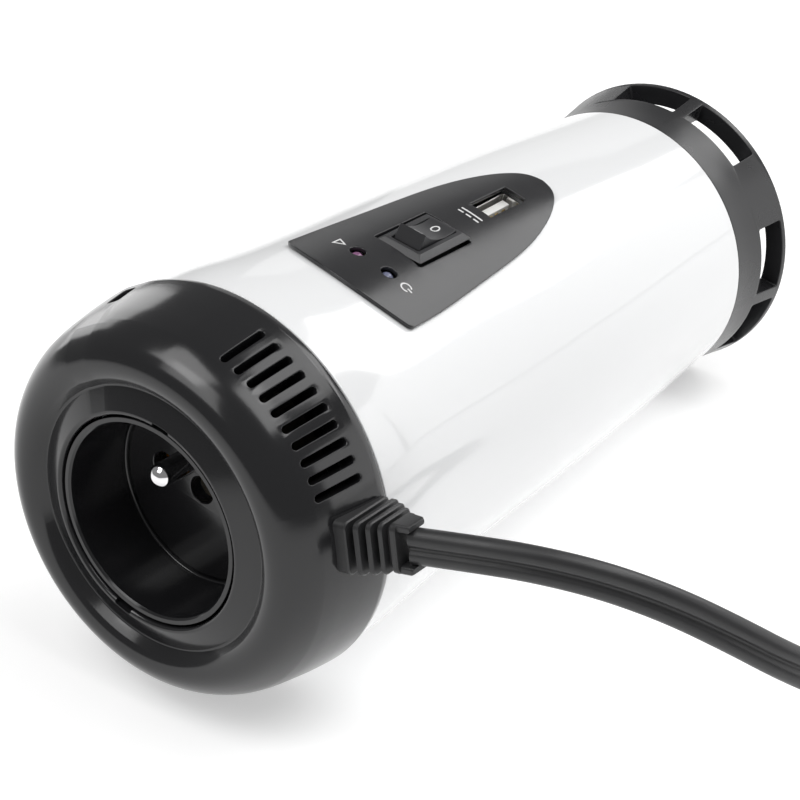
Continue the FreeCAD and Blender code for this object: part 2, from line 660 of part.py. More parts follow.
def transformer_winding():
    z0 = BOARD_TOP + 0.1
    coil = block(12.2, 67.3, 84.7, z0, z0 + 19.5)
    coil = rounded(coil, 2.0, lambda middle, way: abs(way.z) > 0.9)
    return inside(coil.cut(block(12.8, 60.0, 92.0, z0 + 0.8, z0 + 18.0).cut(
        joined([block(3.9, 67.2, 84.8, z0, z0 + 20, side * 8.5) for side in (-1, 1)]))))


def heatsinks():
    """Two finned aluminium bars along the board's edges."""
    bars = []
    for side in (-1, 1):
        bar = block(0.9, 56.0, 128.0, BOARD_TOP + 0.1, 5.0, side * 20.5)
        fins = [block(1.6, y, y + 1.2, BOARD_TOP + 4.0, 5.0, side * 22.5) for y in range(58, 127, 6)]
        bars.append(inside(joined([bar] + fins)))
    return Part.makeCompound(bars)


def transistors():
    """Power transistors clamped to the inner faces of the heatsinks."""
    packs = []
    for side in (-1, 1):
        for y in (95.0, 107.0, 119.0):
            case = block(2.2, y - 5.0, y + 5.0, BOARD_TOP + 3.5, BOARD_TOP + 12.5, side * 17.3)
            tab = block(0.6, y - 5.0, y + 5.0, BOARD_TOP + 12.4, BOARD_TOP + 16.5, side * 18.9)
            legs = [block(0.35, y + k - 0.35, y + k + 0.35, BOARD_TOP + 0.05, BOARD_TOP + 3.6, side * 17.3)
                    for k in (-2.54, 0.0, 2.54)]
            packs.append(inside(joined([case, tab] + legs)))
    return Part.makeCompound(packs)


def capacitors():
    """Upright electrolytic cans: two large ones and three small ones."""
    cans = []
    for x, y, r, tall in ((0.0, 100.0, 8.0, 22.0), (0.0, 118.0, 8.0, 22.0), (-15.5, 49.5, 4.0, 12.0),
                          (-6.0, 49.5, 4.0, 12.0), (3.0, 49.5, 4.0, 12.0)):
        can = rod(r, (x, y, BOARD_TOP + 0.05), (x, y, BOARD_TOP + tall))
        groove = rod(r + 1, (x, y, BOARD_TOP + 2.0), (x, y, BOARD_TOP + 3.0)).cut(
            rod(r - 0.4, (x, y, BOARD_TOP + 1.0), (x, y, BOARD_TOP + 4.0)))
        cans.append(inside(can.cut(groove)))
    return Part.makeCompound(cans)


def choke():
    ring = Part.makeTorus(6.0, 2.6, Vector(16.0, 49.5, BOARD_TOP + 8.8), Vector(0, 1, 0))
    return inside(ring)


def board_fuse():
    body = rod(2.6, (-15.0, 134.0, BOARD_TOP + 4.0), (5.0, 134.0, BOARD_TOP + 4.0))
    return inside(body)


def buzzer():
    return inside(rod(5.5, (17.0, 134.0, BOARD_TOP + 0.05), (17.0, 134.0, BOARD_TOP + 8.5)))


def control_chips():
    places = [(-9.0, 57.9, 3.2, 3.7), (10.0, 58.0, 4.8, 2.4)]
    return Part.makeCompound([inside(block(hx, y - hy, y + hy, BOARD_TOP + 0.3, BOARD_TOP + 2.2, x))
                              for x, y, hx, hy in places])


# ---- fan ---------------------------------------------------------------------------------------------------

def fan_corners():
    return [(sx * FAN_HOLE_OFFSET, sz * FAN_HOLE_OFFSET) for sx in (-1, 1) for sz in (-1, 1)]


def fan_frame():
    y0, y1 = FAN_SPAN
    frame = rounded(block(FAN_HALF, y0, y1, -FAN_HALF, FAN_HALF), 3.0, lambda middle, way: abs(way.y) > 0.9)
    frame = frame.cut([disc(y0 - 1, y1 + 1, FAN_BORE_R)]
                      + [rod(1.6, (x, y0 - 1, z), (x, y1 + 1, z)) for x, z in fan_corners()])
    motor = disc(y1 - 1.4, y1, 9.5)
    struts = [turned(block(1.2, y1 - 1.4, y1, 8.5, FAN_BORE_R + 0.6), a) for a in (40.0, 160.0, 280.0)]
    tube = disc(y0 + 3.0, y1 - 1.0, 3.0)
    bore = rod(2.0, (0, y0, 0), (0, y1 + 1, 0))
    return joined([frame, motor, tube] + struts).cut(bore)


def fan_bearing():
    return disc(FAN_SPAN[0] + 3.0, FAN_SPAN[1] - 0.6, 2.0, 1.03)


def fan_blade(angle):
    """One pitched blade between the hub and the frame's bore."""
    y0, y1 = FAN_SPAN[0] + 1.2, FAN_SPAN[1] - 2.4
    middle = (y0 + y1) / 2
    blade = Part.makeBox(0.9, 9.0, FAN_TIP_R - FAN_HUB_R + 1.5, Vector(-0.45, middle - 4.5, FAN_HUB_R - 1.0))
    blade.rotate(Vector(0, middle, 0), Vector(0, 0, 1), 48.0)
    keep = disc(y0, y1, FAN_TIP_R, FAN_HUB_R - 0.8)
    return turned(blade.common(keep), angle)


def fan_rotor():
    y0 = FAN_SPAN[0] + 0.8
    y1 = FAN_SPAN[1] - 2.0
    hub = disc(y0, y1, FAN_HUB_R).cut(disc(y0 + 1.5, y1 + 1, FAN_HUB_R - 1.2))
    hub = hub.cut(rod(0.99, (0, y0 - 1, 0), (0, y1 + 1, 0)))
    blades = [fan_blade(k * 360.0 / FAN_BLADES) for k in range(FAN_BLADES)]
    return joined([hub] + blades)


def fan_shaft():
    return rod(1.0, (0, FAN_SPAN[0] + 0.9, 0), (0, FAN_SPAN[1] - 0.8, 0))


def fan_screws():
    y0, y1 = FAN_SPAN[0] - 1.6, PLATE_SPAN[1]
    screws = []
    for x, z in fan_corners():
        shank = rod(1.5, (x, y0, z), (x, y1 + 0.05, z))
        head = rod(2.8, (x, y1 + 0.05, z), (x, y1 + 1.7, z))
        cross = [block(0.35, y1 + 0.8, y1 + 3, z - 1.6, z + 1.6, x),
                 block(1.6, y1 + 0.8, y1 + 3, z - 0.35, z + 0.35, x)]
        screws.append(joined([shank, head]).cut(cross))
    return Part.makeCompound(screws)


# ---- wires and cord ---------------------------------------------------------------------------------------

def rounded_path(points, name=None):
    """Straight runs joined by tangent arcs, as one wire; the arcs' radii are printed."""
    places = [Vector(*point) for point in points]
    edges, start, radii = [], places[0], []
    for before, corner, after in zip(places, places[1:], places[2:]):
        come, go = (corner - before).normalize(), (after - corner).normalize()
        half = come.getAngle(go) / 2
        cut = 0.45 * min((corner - before).Length, (after - corner).Length)
        radius = cut / math.tan(half)
        radii.append(radius)
        first, last = corner - come * cut, corner + go * cut
        inwards = (go - come).normalize()
        middle = corner + inwards * (radius / math.cos(half) - radius)
        edges.append(Part.makeLine(start, first))
        edges.append(Part.Arc(first, middle, last).toShape())
        start = last
    edges.append(Part.makeLine(start, places[-1]))
    if name:
        print(name, "arc radii", " ".join("%.0f" % r for r in radii), "length %.1f" % sum(e.Length for e in edges))
    return Part.Wire(edges)


def tube(points, r, name=None):
    """A round tube along a rounded path."""
    path = rounded_path(points, name)
    way = Vector(*points[1]) - Vector(*points[0])
    section = Part.Wire(Part.makeCircle(r, Vector(*points[0]), way))
    solid = path.makePipeShell([section], True, False)
    if name:
        print(name, "volume %.1f of %.1f" % (solid.Volume, math.pi * r * r * path.Length))
    return solid


def turned_point(x, y, z, angle):
    a = math.radians(angle)
    return (x * math.cos(a) + z * math.sin(a), y, z * math.cos(a) - x * math.sin(a))


def leads(routes, angle):
    """Insulated wires along their own routes, turned about the can's axis."""
    return Part.makeCompound([turned(tube(route, WIRE_R), angle) for route in routes])


def input_leads():
    """The two 12 V wires from the strain relief's inner end to the board's front edge."""
    entry = math.radians(RELIEF_ANGLE - PANEL_ANGLE)
    routes = []
    for y, x_end in ((14.4, 20.6), (17.4, 17.2)):
        start, bend = 29.9, 27.4
        routes.append([(start * math.sin(entry), y, start * math.cos(entry)),
                       (bend * math.sin(entry), y + 0.6, bend * math.cos(entry)),
                       (x_end + 5.0, y + 9.0, 11.6), (x_end + 4.0, 36.0, 7.0),
                       (x_end + 0.8, 42.6, 0.0), (x_end, 43.8, -6.0), (x_end, 43.7, BOARD_TOP + 0.05)])
    return leads(routes, PANEL_ANGLE)


def output_leads():
    """The two mains wires from the board's front edge to the socket's contacts."""
    routes = []
    for side in (-1, 1):
        start = turned_point(side * CONTACT_OFFSET, 36.05, 0.0, SOCKET_ANGLE - PANEL_ANGLE)
        x, z = start[0], start[2]
        routes.append([start, (x, 39.5, z - 0.4), (x, 42.6, z - 3.4), (x, 43.6, z - 7.5),
                       (x, 43.7, BOARD_TOP + 0.05)])
    return leads(routes, PANEL_ANGLE)


def switch_leads():
    """Three wires from the switch's terminals over the transformer to the board's front edge."""
    routes = []
    start = (SWITCH_DEPTH + 6.0) * math.sin(math.radians(SWITCH_LEAN))
    for y, x in ((-4.5, 0.6), (0.0, -2.4), (4.5, -5.4)):
        top = SWITCH_SEAT - SWITCH_DEPTH - 6.5 - y * math.sin(math.radians(PANEL_SLOPE))
        foot = SWITCH_Y + y - (SWITCH_DEPTH + 6.0) * math.sin(math.radians(PANEL_SLOPE))
        routes.append([(start, foot, top), (start + x / 4, foot - 0.4, top - 3.0), (x, foot - 5.0, top - 5.4),
                       (x, 50.5, 10.0 - y / 4), (x, 45.0, 4.0), (x, 43.8, -3.0), (x, 43.7, BOARD_TOP + 0.05)])
    return leads(routes, PANEL_ANGLE)


def usb_leads():
    """Two wires from the USB board down to the main board, between the tall parts."""
    low = USB_MOUTH_Z - USB_DEPTH - 1.8
    routes = [[(x, 104.0, low), (x, 104.2, low - 3.4), (11.6, y, 9.0), (11.9, y + 0.4, 2.0),
               (11.9, y + 0.3, BOARD_TOP + 0.05)] for x, y in ((8.4, 107.6), (5.6, 110.4))]
    return leads(routes, PANEL_ANGLE)


# ---- strain relief, cord, coil and tie ---------------------------------------------------------------------

def strain_relief():
    """A ribbed, tapering sleeve: its base fills the cap's hole and a flange holds it inside."""
    ribs = []
    for inner, outer, y0, y1, tall in RELIEF_RIBS:
        rib = block(tall / 2, y0, y1, inner, outer)
        ribs.append(turned(rounded(rib, 1.6, lambda middle, way: abs(way.z) > 0.9), RELIEF_ANGLE))
    return joined(ribs + [relief_box(*RELIEF_CORE)])


def cord_coil():
    """The outer shape of the wound-up lead: one and a half turns, one above the other."""
    low, high = COIL_SPAN
    x, y = COIL_CENTRE
    outer = Part.makeCylinder(COIL_R + CORD_WIDTH / 2, high - low, Vector(x, y, low))
    return outer.cut(Part.makeCylinder(COIL_R - CORD_WIDTH / 2, high + 2, Vector(x, y, -1)))


def coil_tie():
    """A strap round the coil's section, on its far side."""
    width, thick, gap = TIE
    low, high = COIL_SPAN
    x, y = COIL_CENTRE
    near, far = COIL_R - CORD_WIDTH / 2 - gap - 0.2, COIL_R + CORD_WIDTH / 2 + gap
    outer = block(width / 2, y + near - thick, y + far + thick, 0.0, high + gap + thick, x)
    return outer.cut(block(width, y + near, y + far, thick, high + gap, x))


# ---- 12 V plug, built along +Y from its rear ------------------------------------------------------------------

def plug_placed(shape):
    """Turn the plug about the vertical and lay it beside the coil, pointing towards -Y."""
    copy = shape.copy()
    copy.rotate(Vector(0, 0, 0), Vector(0, 0, 1), 180)
    copy.translate(Vector(PLUG_X, PLUG_REAR_Y, PLUG_AXIS_Z))
    return copy


def plug_half(side):
    """One half of the plug's shell: side is 1 for the upper half and -1 for the lower one."""
    barrel_start, barrel_end, barrel_r = PLUG_BARREL
    inner = [(y, r - PLUG_WALL) for y, r in PLUG_CURVE[1:]]
    outline = [spline(PLUG_CURVE)]
    outline += lines([PLUG_CURVE[-1], (barrel_start, barrel_r), (barrel_end, barrel_r),
                      (barrel_end, barrel_r - PLUG_WALL), (barrel_start, barrel_r - PLUG_WALL)] + inner[::-1]
                     + [(PLUG_WALL, 6.2), (PLUG_WALL, 4.5), (0.0, 4.5), PLUG_CURVE[0]])
    half = turned(revolve(outline, 180), -90 if side > 0 else 90)
    boss = rod(3.0, (0, PLUG_SCREW_Y, 0), (0, PLUG_SCREW_Y, side * 11.5))
    half = joined([half, boss])
    start, end = PLUG_CONTACT[0], PLUG_CONTACT[-1]
    slot = block(14.0, start + 0.1, end - 0.1, -PLUG_CONTACT_WIDTH / 2 - 0.3, PLUG_CONTACT_WIDTH / 2 + 0.3)
    tools = [slot, block(20.0, -1.0, 80.0, -PLUG_SPLIT / 2, PLUG_SPLIT / 2)]
    if side > 0:
        tools.append(rod(1.65, (0, PLUG_LENS_Y, 5.0), (0, PLUG_LENS_Y, 15.0)))
        tools.append(rod(1.12, (0, PLUG_SCREW_Y, -1.0), (0, PLUG_SCREW_Y, 6.0)))
    else:
        tools.append(rod(1.15, (0, PLUG_SCREW_Y, -12.0), (0, PLUG_SCREW_Y, 1.0)))
        tools.append(rod(2.3, (0, PLUG_SCREW_Y, -15.0), (0, PLUG_SCREW_Y, -9.5)))
    return plug_placed(half.cut(tools))


def plug_screw():
    head = rod(2.2, (0, PLUG_SCREW_Y, -11.4), (0, PLUG_SCREW_Y, -9.55))
    head = head.cut([block(0.3, PLUG_SCREW_Y - 1.5, PLUG_SCREW_Y + 1.5, -12.0, -10.6),
                     block(1.5, PLUG_SCREW_Y - 0.3, PLUG_SCREW_Y + 0.3, -12.0, -10.6)])
    return plug_placed(joined([head, rod(1.1, (0, PLUG_SCREW_Y, -9.8), (0, PLUG_SCREW_Y, 5.5))]))


def plug_lens():
    dome = Part.makeSphere(1.6, Vector(0, PLUG_LENS_Y, 10.6))
    return plug_placed(joined([dome, rod(1.6, (0, PLUG_LENS_Y, 7.6), (0, PLUG_LENS_Y, 10.6)),
                               rod(2.1, (0, PLUG_LENS_Y, 6.6), (0, PLUG_LENS_Y, 7.8))]))


def plug_nose():
    """The screwed ring at the front, which the tip comes out of."""
    start, radius = PLUG_BARREL[1] + 0.1, PLUG_BARREL[2]
    outline = closed_lines([(start, radius - 0.3), (start + 0.4, radius), (start + 3.0, radius),
                            (PLUG_NOSE_END, 7.0), (PLUG_NOSE_END, 3.4), (PLUG_NOSE_END - 1.6, 3.4),
                            (PLUG_NOSE_END - 1.6, 5.6), (start, 7.6)])
    return plug_placed(revolve(outline))


def plug_tip():
    radius, end = PLUG_TIP
    fuse_end = PLUG_FUSE[1]
    outline = [spline([(end - 2.2, radius), (end - 0.7, 2.3), (end, 0.0)])]
    outline += lines([(end, 0.0), (fuse_end + 0.05, 0.0), (fuse_end + 0.05, 4.6), (PLUG_NOSE_END - 1.9, 4.6),
                      (PLUG_NOSE_END - 1.9, radius), (end - 2.2, radius)])
    return plug_placed(revolve(outline))


def plug_fuse():
    """A glass fuse between the tip and the spring: a tube with two metal caps."""
    start, end, radius = PLUG_FUSE
    caps = [disc(start, start + 6.0, radius), disc(end - 6.0, end, radius)]
    return plug_placed(joined([disc(start + 1, end - 1, radius - 0.25)] + caps))


def plug_spring():
    """The spring behind the fuse at its pushed-in length, as stacked rings on a thin sleeve."""
    start, end, radius, wire = PLUG_SPRING
    rings = [Part.makeTorus(radius, wire, Vector(0, start + wire + k * 0.8, 0), Vector(0, 1, 0))
             for k in range(5)]
    return plug_placed(joined(rings + [disc(start + wire, end - wire, radius + 0.15, radius - 0.15)]))


def plug_contact(side):
    """A bowed strip that stands out of a slot in the plug's side, with a round bead to turn on."""
    start, crest, end = PLUG_CONTACT
    thick, half = 0.5, PLUG_CONTACT_WIDTH / 2
    outer = Part.Arc(Vector(7.75, start, 0), Vector(12.0, crest, 0), Vector(7.75, end, 0)).toShape()
    inner = Part.Arc(Vector(7.75 - thick, start, 0), Vector(12.0 - thick, crest, 0),
                     Vector(7.75 - thick, end, 0)).toShape()
    caps = [Part.makeLine(Vector(7.75, y, 0), Vector(7.75 - thick, y, 0)) for y in (start, end)]
    strip = Part.Face(Part.Wire(Part.__sortEdges__([outer, inner] + caps)))
    strip = moved(strip.extrude(Vector(0, 0, 2 * half)), 0, 0, -half)
    bead = rod(0.55, (7.5, end, -half), (7.5, end, half))
    return plug_placed(turned(joined([strip, bead]), 0 if side > 0 else 180))


def plug_boot():
    """The tapered sleeve at the plug's rear, held by a flange inside the shell."""
    neck = [(-0.1, 4.4), (PLUG_WALL + 0.1, 4.4), (PLUG_WALL + 0.1, 5.4), (PLUG_WALL + 1.5, 5.4),
            (PLUG_WALL + 1.5, 0.0), (PLUG_BOOT[0][0], 0.0)]
    boot = revolve(lines(PLUG_BOOT + neck + [PLUG_BOOT[0]]))
    grooves = []
    for y in (-11.5, -8.8, -6.1, -3.4):
        grooves.append(disc(y, y + 1.0, 9.0, radius_at(PLUG_BOOT, y + 0.5) - 0.6))
    return plug_placed(boot.cut(grooves))


# ---- all sub-parts, in the finished part's frame -----------------------------------------------------------------

CAN_PARTS = {
    "socket_cap": socket_cap, "body_shell": body_shell, "base_ring": base_ring, "base_plate": base_plate,
    "socket_insert": socket_insert, "socket_floor": socket_floor, "insert_screws": insert_screws,
    "contact_block": contact_block,
    "earth_pin": earth_pin, "socket_contacts": contacts, "socket_screw": socket_screw,
    "socket_nut": socket_nut, "control_panel": control_panel, "led_board": led_board,
    "switch_frame": switch_frame, "switch_rocker": rocker, "rocker_pin": rocker_pin,
    "switch_terminals": switch_terminals, "usb_shell": usb_shell, "usb_tongue": usb_tongue,
    "usb_contacts": usb_contacts, "usb_board": usb_board, "main_board": main_board,
    "transformer_core": transformer_core, "transformer_winding": transformer_winding,
    "heatsinks": heatsinks, "transistors": transistors, "capacitors": capacitors, "choke": choke,
    "board_fuse": board_fuse, "buzzer": buzzer, "control_chips": control_chips,
    "fan_frame": fan_frame, "fan_bearing": fan_bearing, "fan_rotor": fan_rotor, "fan_shaft": fan_shaft,
    "fan_screws": fan_screws, "input_leads": input_leads, "output_leads": output_leads,
    "switch_leads": switch_leads, "usb_leads": usb_leads, "strain_relief": strain_relief,
}
FLOOR_PARTS = {
    "cord_coil": cord_coil, "coil_tie": coil_tie, "plug_screw": plug_screw, "plug_lens": plug_lens,
    "plug_nose": plug_nose, "plug_tip": plug_tip, "plug_fuse": plug_fuse, "plug_spring": plug_spring,
    "plug_boot": plug_boot,
}


def export(name, shape):
    shape.exportStep("parts/%s.step" % name)


for name, make in CAN_PARTS.items():
    export(name, laid(make()))
for name, make in FLOOR_PARTS.items():
    export(name, make())
for name, side in (("led_fault", -1), ("led_power", 1)):
    export(name, laid(light(side)))
for name, side in (("plug_upper_shell", 1), ("plug_lower_shell", -1)):
    export(name, plug_half(side))
for name, side in (("plug_contact_left", 1), ("plug_contact_right", -1)):
    export(name, plug_contact(side))
export("power_cord", tube(ROUTE_OUT, CORD_THICK / 2, "power_cord"))
export("power_cord_end", tube(ROUTE_IN, CORD_THICK / 2, "power_cord_end"))
print("tilt %.3f lift %.3f shift %.3f" % (TILT, LIFT, SHIFT_Y))
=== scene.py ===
import bpy
import bmesh
import json
import math
import numpy as np
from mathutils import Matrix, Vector


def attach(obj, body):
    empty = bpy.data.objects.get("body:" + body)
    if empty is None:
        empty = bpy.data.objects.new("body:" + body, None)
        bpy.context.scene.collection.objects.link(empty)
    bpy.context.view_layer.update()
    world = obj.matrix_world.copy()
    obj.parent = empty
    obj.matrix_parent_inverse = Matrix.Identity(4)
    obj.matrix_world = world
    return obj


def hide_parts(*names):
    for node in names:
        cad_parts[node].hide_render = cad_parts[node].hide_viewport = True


# The looks of a cup-holder power inverter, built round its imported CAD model.
# The can's own frame is in millimetres: y along its axis from the socket's lip, z up, x to
# the lead's side. Angles are in degrees about that axis, from straight up towards +X.

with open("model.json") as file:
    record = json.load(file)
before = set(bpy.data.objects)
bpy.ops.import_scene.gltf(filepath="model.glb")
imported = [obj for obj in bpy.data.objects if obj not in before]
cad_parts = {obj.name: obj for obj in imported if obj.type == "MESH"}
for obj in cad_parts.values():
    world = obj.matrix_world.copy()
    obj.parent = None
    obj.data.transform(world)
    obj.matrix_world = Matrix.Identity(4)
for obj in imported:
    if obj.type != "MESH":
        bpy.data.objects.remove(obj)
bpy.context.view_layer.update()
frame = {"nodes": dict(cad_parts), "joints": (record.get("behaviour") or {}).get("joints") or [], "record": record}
nodes = frame["nodes"]
joints = {joint["name"]: joint for joint in frame["joints"]}

MM = 0.001
FAN_Y = 153.6
AXIS = Vector(joints["fan_spin"]["axis"]).normalized()
MOUTH = Vector(joints["fan_spin"]["pos_m"]) - AXIS * FAN_Y * MM
ACROSS = Vector((1, 0, 0))
UPWARDS = Vector((0, -AXIS.z, AXIS.y))

PANEL_ANGLE = 16.0
SOCKET_ANGLE = 12.0
RELIEF_ANGLE = 81.5
RELIEF_Y = 15.8


def can(x, y, z):
    """A point of the can's frame, in millimetres, as a point of the row frame."""
    return MOUTH + (ACROSS * x + AXIS * y + UPWARDS * z) * MM


def around(angle, radius, y):
    turn = math.radians(angle)
    return can(radius * math.sin(turn), y, radius * math.cos(turn))


def turned(angle):
    """A placement: points built straight up are turned about the can's axis."""
    turn = math.radians(angle)

    def place(x, y, z):
        return can(x * math.cos(turn) + z * math.sin(turn), y, z * math.cos(turn) - x * math.sin(turn))
    return place


# ---- curves -----------------------------------------------------------------------------------------

def smooth(points, steps):
    """Points on a natural cubic spline through the given ones."""
    points = np.array(points, float)
    count = len(points)
    along = np.concatenate([[0], np.cumsum(np.linalg.norm(np.diff(points, axis=0), axis=1))])
    gaps = np.diff(along)
    system = np.eye(count)
    right = np.zeros(points.shape)
    for i in range(1, count - 1):
        system[i, i - 1:i + 2] = gaps[i - 1], 2 * (gaps[i - 1] + gaps[i]), gaps[i]
        slopes = (points[i + 1] - points[i]) / gaps[i] - (points[i] - points[i - 1]) / gaps[i - 1]
        right[i] = 6 * slopes
    bend = np.linalg.solve(system, right)
    result = []
    for at in np.linspace(0, along[-1], steps):
        i = min(np.searchsorted(along, at, side="right") - 1, count - 2)
        a, b, gap = along[i + 1] - at, at - along[i], gaps[i]
        result.append((bend[i] * a ** 3 + bend[i + 1] * b ** 3) / (6 * gap)
                      + (points[i] / gap - bend[i] * gap / 6) * a
                      + (points[i + 1] / gap - bend[i + 1] * gap / 6) * b)
    return [tuple(point) for point in result]


def eased(points, steps=4):
    """A polyline whose corners are rounded. Each point is (y, r) or (y, r, radius)."""
    result = [tuple(points[0][:2])]
    for before, corner, after in zip(points, points[1:], points[2:]):
        here = np.array(corner[:2], float)
        radius = corner[2] if len(corner) > 2 else 0.0
        come = np.array(before[:2], float) - here
        go = np.array(after[:2], float) - here
        reach = min(np.linalg.norm(come), np.linalg.norm(go))
        come, go = come / np.linalg.norm(come), go / np.linalg.norm(go)
        half = math.acos(np.clip(come @ go, -1, 1)) / 2
        if radius == 0 or half > 1.55:
            result.append(tuple(here))
            continue
        cut = min(radius / math.tan(half), 0.48 * reach)
        for step in range(steps + 1):
            t = step / steps
            point = (1 - t) ** 2 * (here + come * cut) + 2 * t * (1 - t) * here + t ** 2 * (here + go * cut)
            result.append(tuple(point))
    return result + [tuple(points[-1][:2])]


def height_at(profile, y):
    """Radius of a profile at y, for a stretch where y only grows."""
    ys = [point[0] for point in profile]
    return float(np.interp(y, ys, [point[1] for point in profile]))


def rounded_box(half_x, half_y, corner, side_x=1, side_y=1, arc=3):
    """A rounded rectangle's points as four sides, each from the middle of one corner to the next."""
    corner = min(corner, half_x, half_y)
    cx, cy = half_x - corner, half_y - corner
    places = [(-cx, -cy), (cx, -cy), (cx, cy), (-cx, cy)]
    sides = []
    for k in range(4):
        first, last = places[k], places[(k + 1) % 4]
        turn = 225 + 90 * k
        side = []
        for centre, start in ((first, turn), (last, turn + 45)):
            for step in range(arc + 1):
                angle = math.radians(start + 45 * step / arc)
                side.append((centre[0] + corner * math.cos(angle), centre[1] + corner * math.sin(angle)))
        straight = side_y if k % 2 else side_x
        a, b = np.array(side[arc]), np.array(side[arc + 1])
        middle = [tuple(a + (b - a) * i / straight) for i in range(1, straight)]
        sides.append(side[:arc + 1] + middle + side[arc + 1:])
    return sides


def loop_of(sides):
    """The four sides of a rounded box as one closed loop."""
    return [point for side in sides for point in side[:-1]]


# ---- meshes -----------------------------------------------------------------------------------------

class Shape:
    """The points and faces of one mesh."""

    def __init__(self):
        self.points = []
        self.faces = []

    def loop(self, points):
        start = len(self.points)
        self.points += points
        return list(range(start, start + len(points)))

    def bridge(self, first, second, closed=True):
        count = len(first)
        for i in range(count if closed else count - 1):
            j = (i + 1) % count
            self.faces.append((first[i], first[j], second[j], second[i]))

    def fill(self, loop):
        self.faces.append(tuple(loop))

    def loft(self, loops, start=True, end=True):
        """Closed loops joined one after another, with flat ends if wanted."""
        rows = [self.loop(points) for points in loops]
        for first, second in zip(rows, rows[1:]):
            self.bridge(first, second)
        if start:
            self.fill(rows[0])
        if end:
            self.fill(rows[-1])

    def lathe(self, profile, angles, shift=None):
        """A profile of (y, r) turned about the can's axis through the given angles."""
        rows = []
        for y, radius in profile:
            radii = [shift(radius, angle) if shift else radius for angle in angles]
            rows.append(self.loop([around(angle, r, y) for angle, r in zip(angles, radii)]))
        for first, second in zip(rows, rows[1:]):
            self.bridge(first, second)

    def make(self, name, body, material, replaced=(), sharp=35):
        mesh = bpy.data.meshes.new(name)
        mesh.from_pydata([tuple(point) for point in self.points], [], self.faces)
        work = bmesh.new()
        work.from_mesh(mesh)
        bmesh.ops.remove_doubles(work, verts=work.verts, dist=2e-6)
        bmesh.ops.dissolve_degenerate(work, edges=work.edges, dist=1e-7)
        bmesh.ops.recalc_face_normals(work, faces=work.faces)
        work.to_mesh(mesh)
        work.free()
        return finished(bpy.data.objects.new(name, mesh), body, material, replaced, sharp)


def finished(piece, body, material, replaced=(), sharp=35):
    """Link a piece, shade it smooth up to its sharp edges, and give it its body and material."""
    bpy.context.scene.collection.objects.link(piece)
    if piece.type == "MESH":
        piece.data.shade_smooth()
        piece.data.set_sharp_from_angle(angle=math.radians(sharp))
        normals = piece.modifiers.new("normals", "WEIGHTED_NORMAL")
        normals.keep_sharp = True
        normals.weight = 80
    piece.data.materials.clear()
    piece.data.materials.append(material)
    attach(piece, body)
    if replaced:
        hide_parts(*replaced)
    return piece


def plate(outlines, thickness, bevel):
    """Points and faces of a flat plate with holes: closed outlines in millimetres, at z from 0 up."""
    curve = bpy.data.curves.new("plate", "CURVE")
    curve.dimensions = "2D"
    curve.fill_mode = "BOTH"
    curve.extrude = thickness / 2 - bevel
    curve.bevel_depth = bevel
    curve.bevel_resolution = 2
    curve.offset = -bevel
    for outline in outlines:
        spline = curve.splines.new("POLY")
        spline.points.add(len(outline) - 1)
        for point, (x, y) in zip(spline.points, outline):
            point.co = (x, y, 0, 1)
        spline.use_cyclic_u = True
    holder = bpy.data.objects.new("plate", curve)
    mesh = bpy.data.meshes.new_from_object(holder)
    bpy.data.objects.remove(holder)
    bpy.data.curves.remove(curve)
    work = bmesh.new()
    work.from_mesh(mesh)
    bpy.data.meshes.remove(mesh)
    bmesh.ops.remove_doubles(work, verts=work.verts, dist=1e-4)
    bmesh.ops.translate(work, verts=work.verts, vec=(0, 0, thickness / 2))
    return work


def sliced(work, axis, step):
    """Cut a plate into strips across an axis, so that it can be bent."""
    values = [vert.co[axis] for vert in work.verts]
    normal = Vector((0, 0, 0))
    normal[axis] = 1
    for k in range(math.ceil(min(values) / step), math.floor(max(values) / step) + 1):
        geometry = work.verts[:] + work.edges[:] + work.faces[:]
        bmesh.ops.bisect_plane(work, geom=geometry, dist=1e-5, plane_co=normal * (k * step), plane_no=normal)


def placed(work, name, place, body, material, replaced=(), sharp=35):
    """A plate's points moved to the row frame by place(x, y, z), as a finished piece."""
    for vert in work.verts:
        vert.co = place(*vert.co)
    bmesh.ops.recalc_face_normals(work, faces=work.faces)
    mesh = bpy.data.meshes.new(name)
    work.to_mesh(mesh)
    work.free()
    return finished(bpy.data.objects.new(name, mesh), body, material, replaced, sharp)


def circle(x, y, radius, count=32):
    turns = [2 * math.pi * k / count for k in range(count)]
    return [(x + radius * math.cos(turn), y + radius * math.sin(turn)) for turn in turns]


# ---- materials --------------------------------------------------------------------------------------

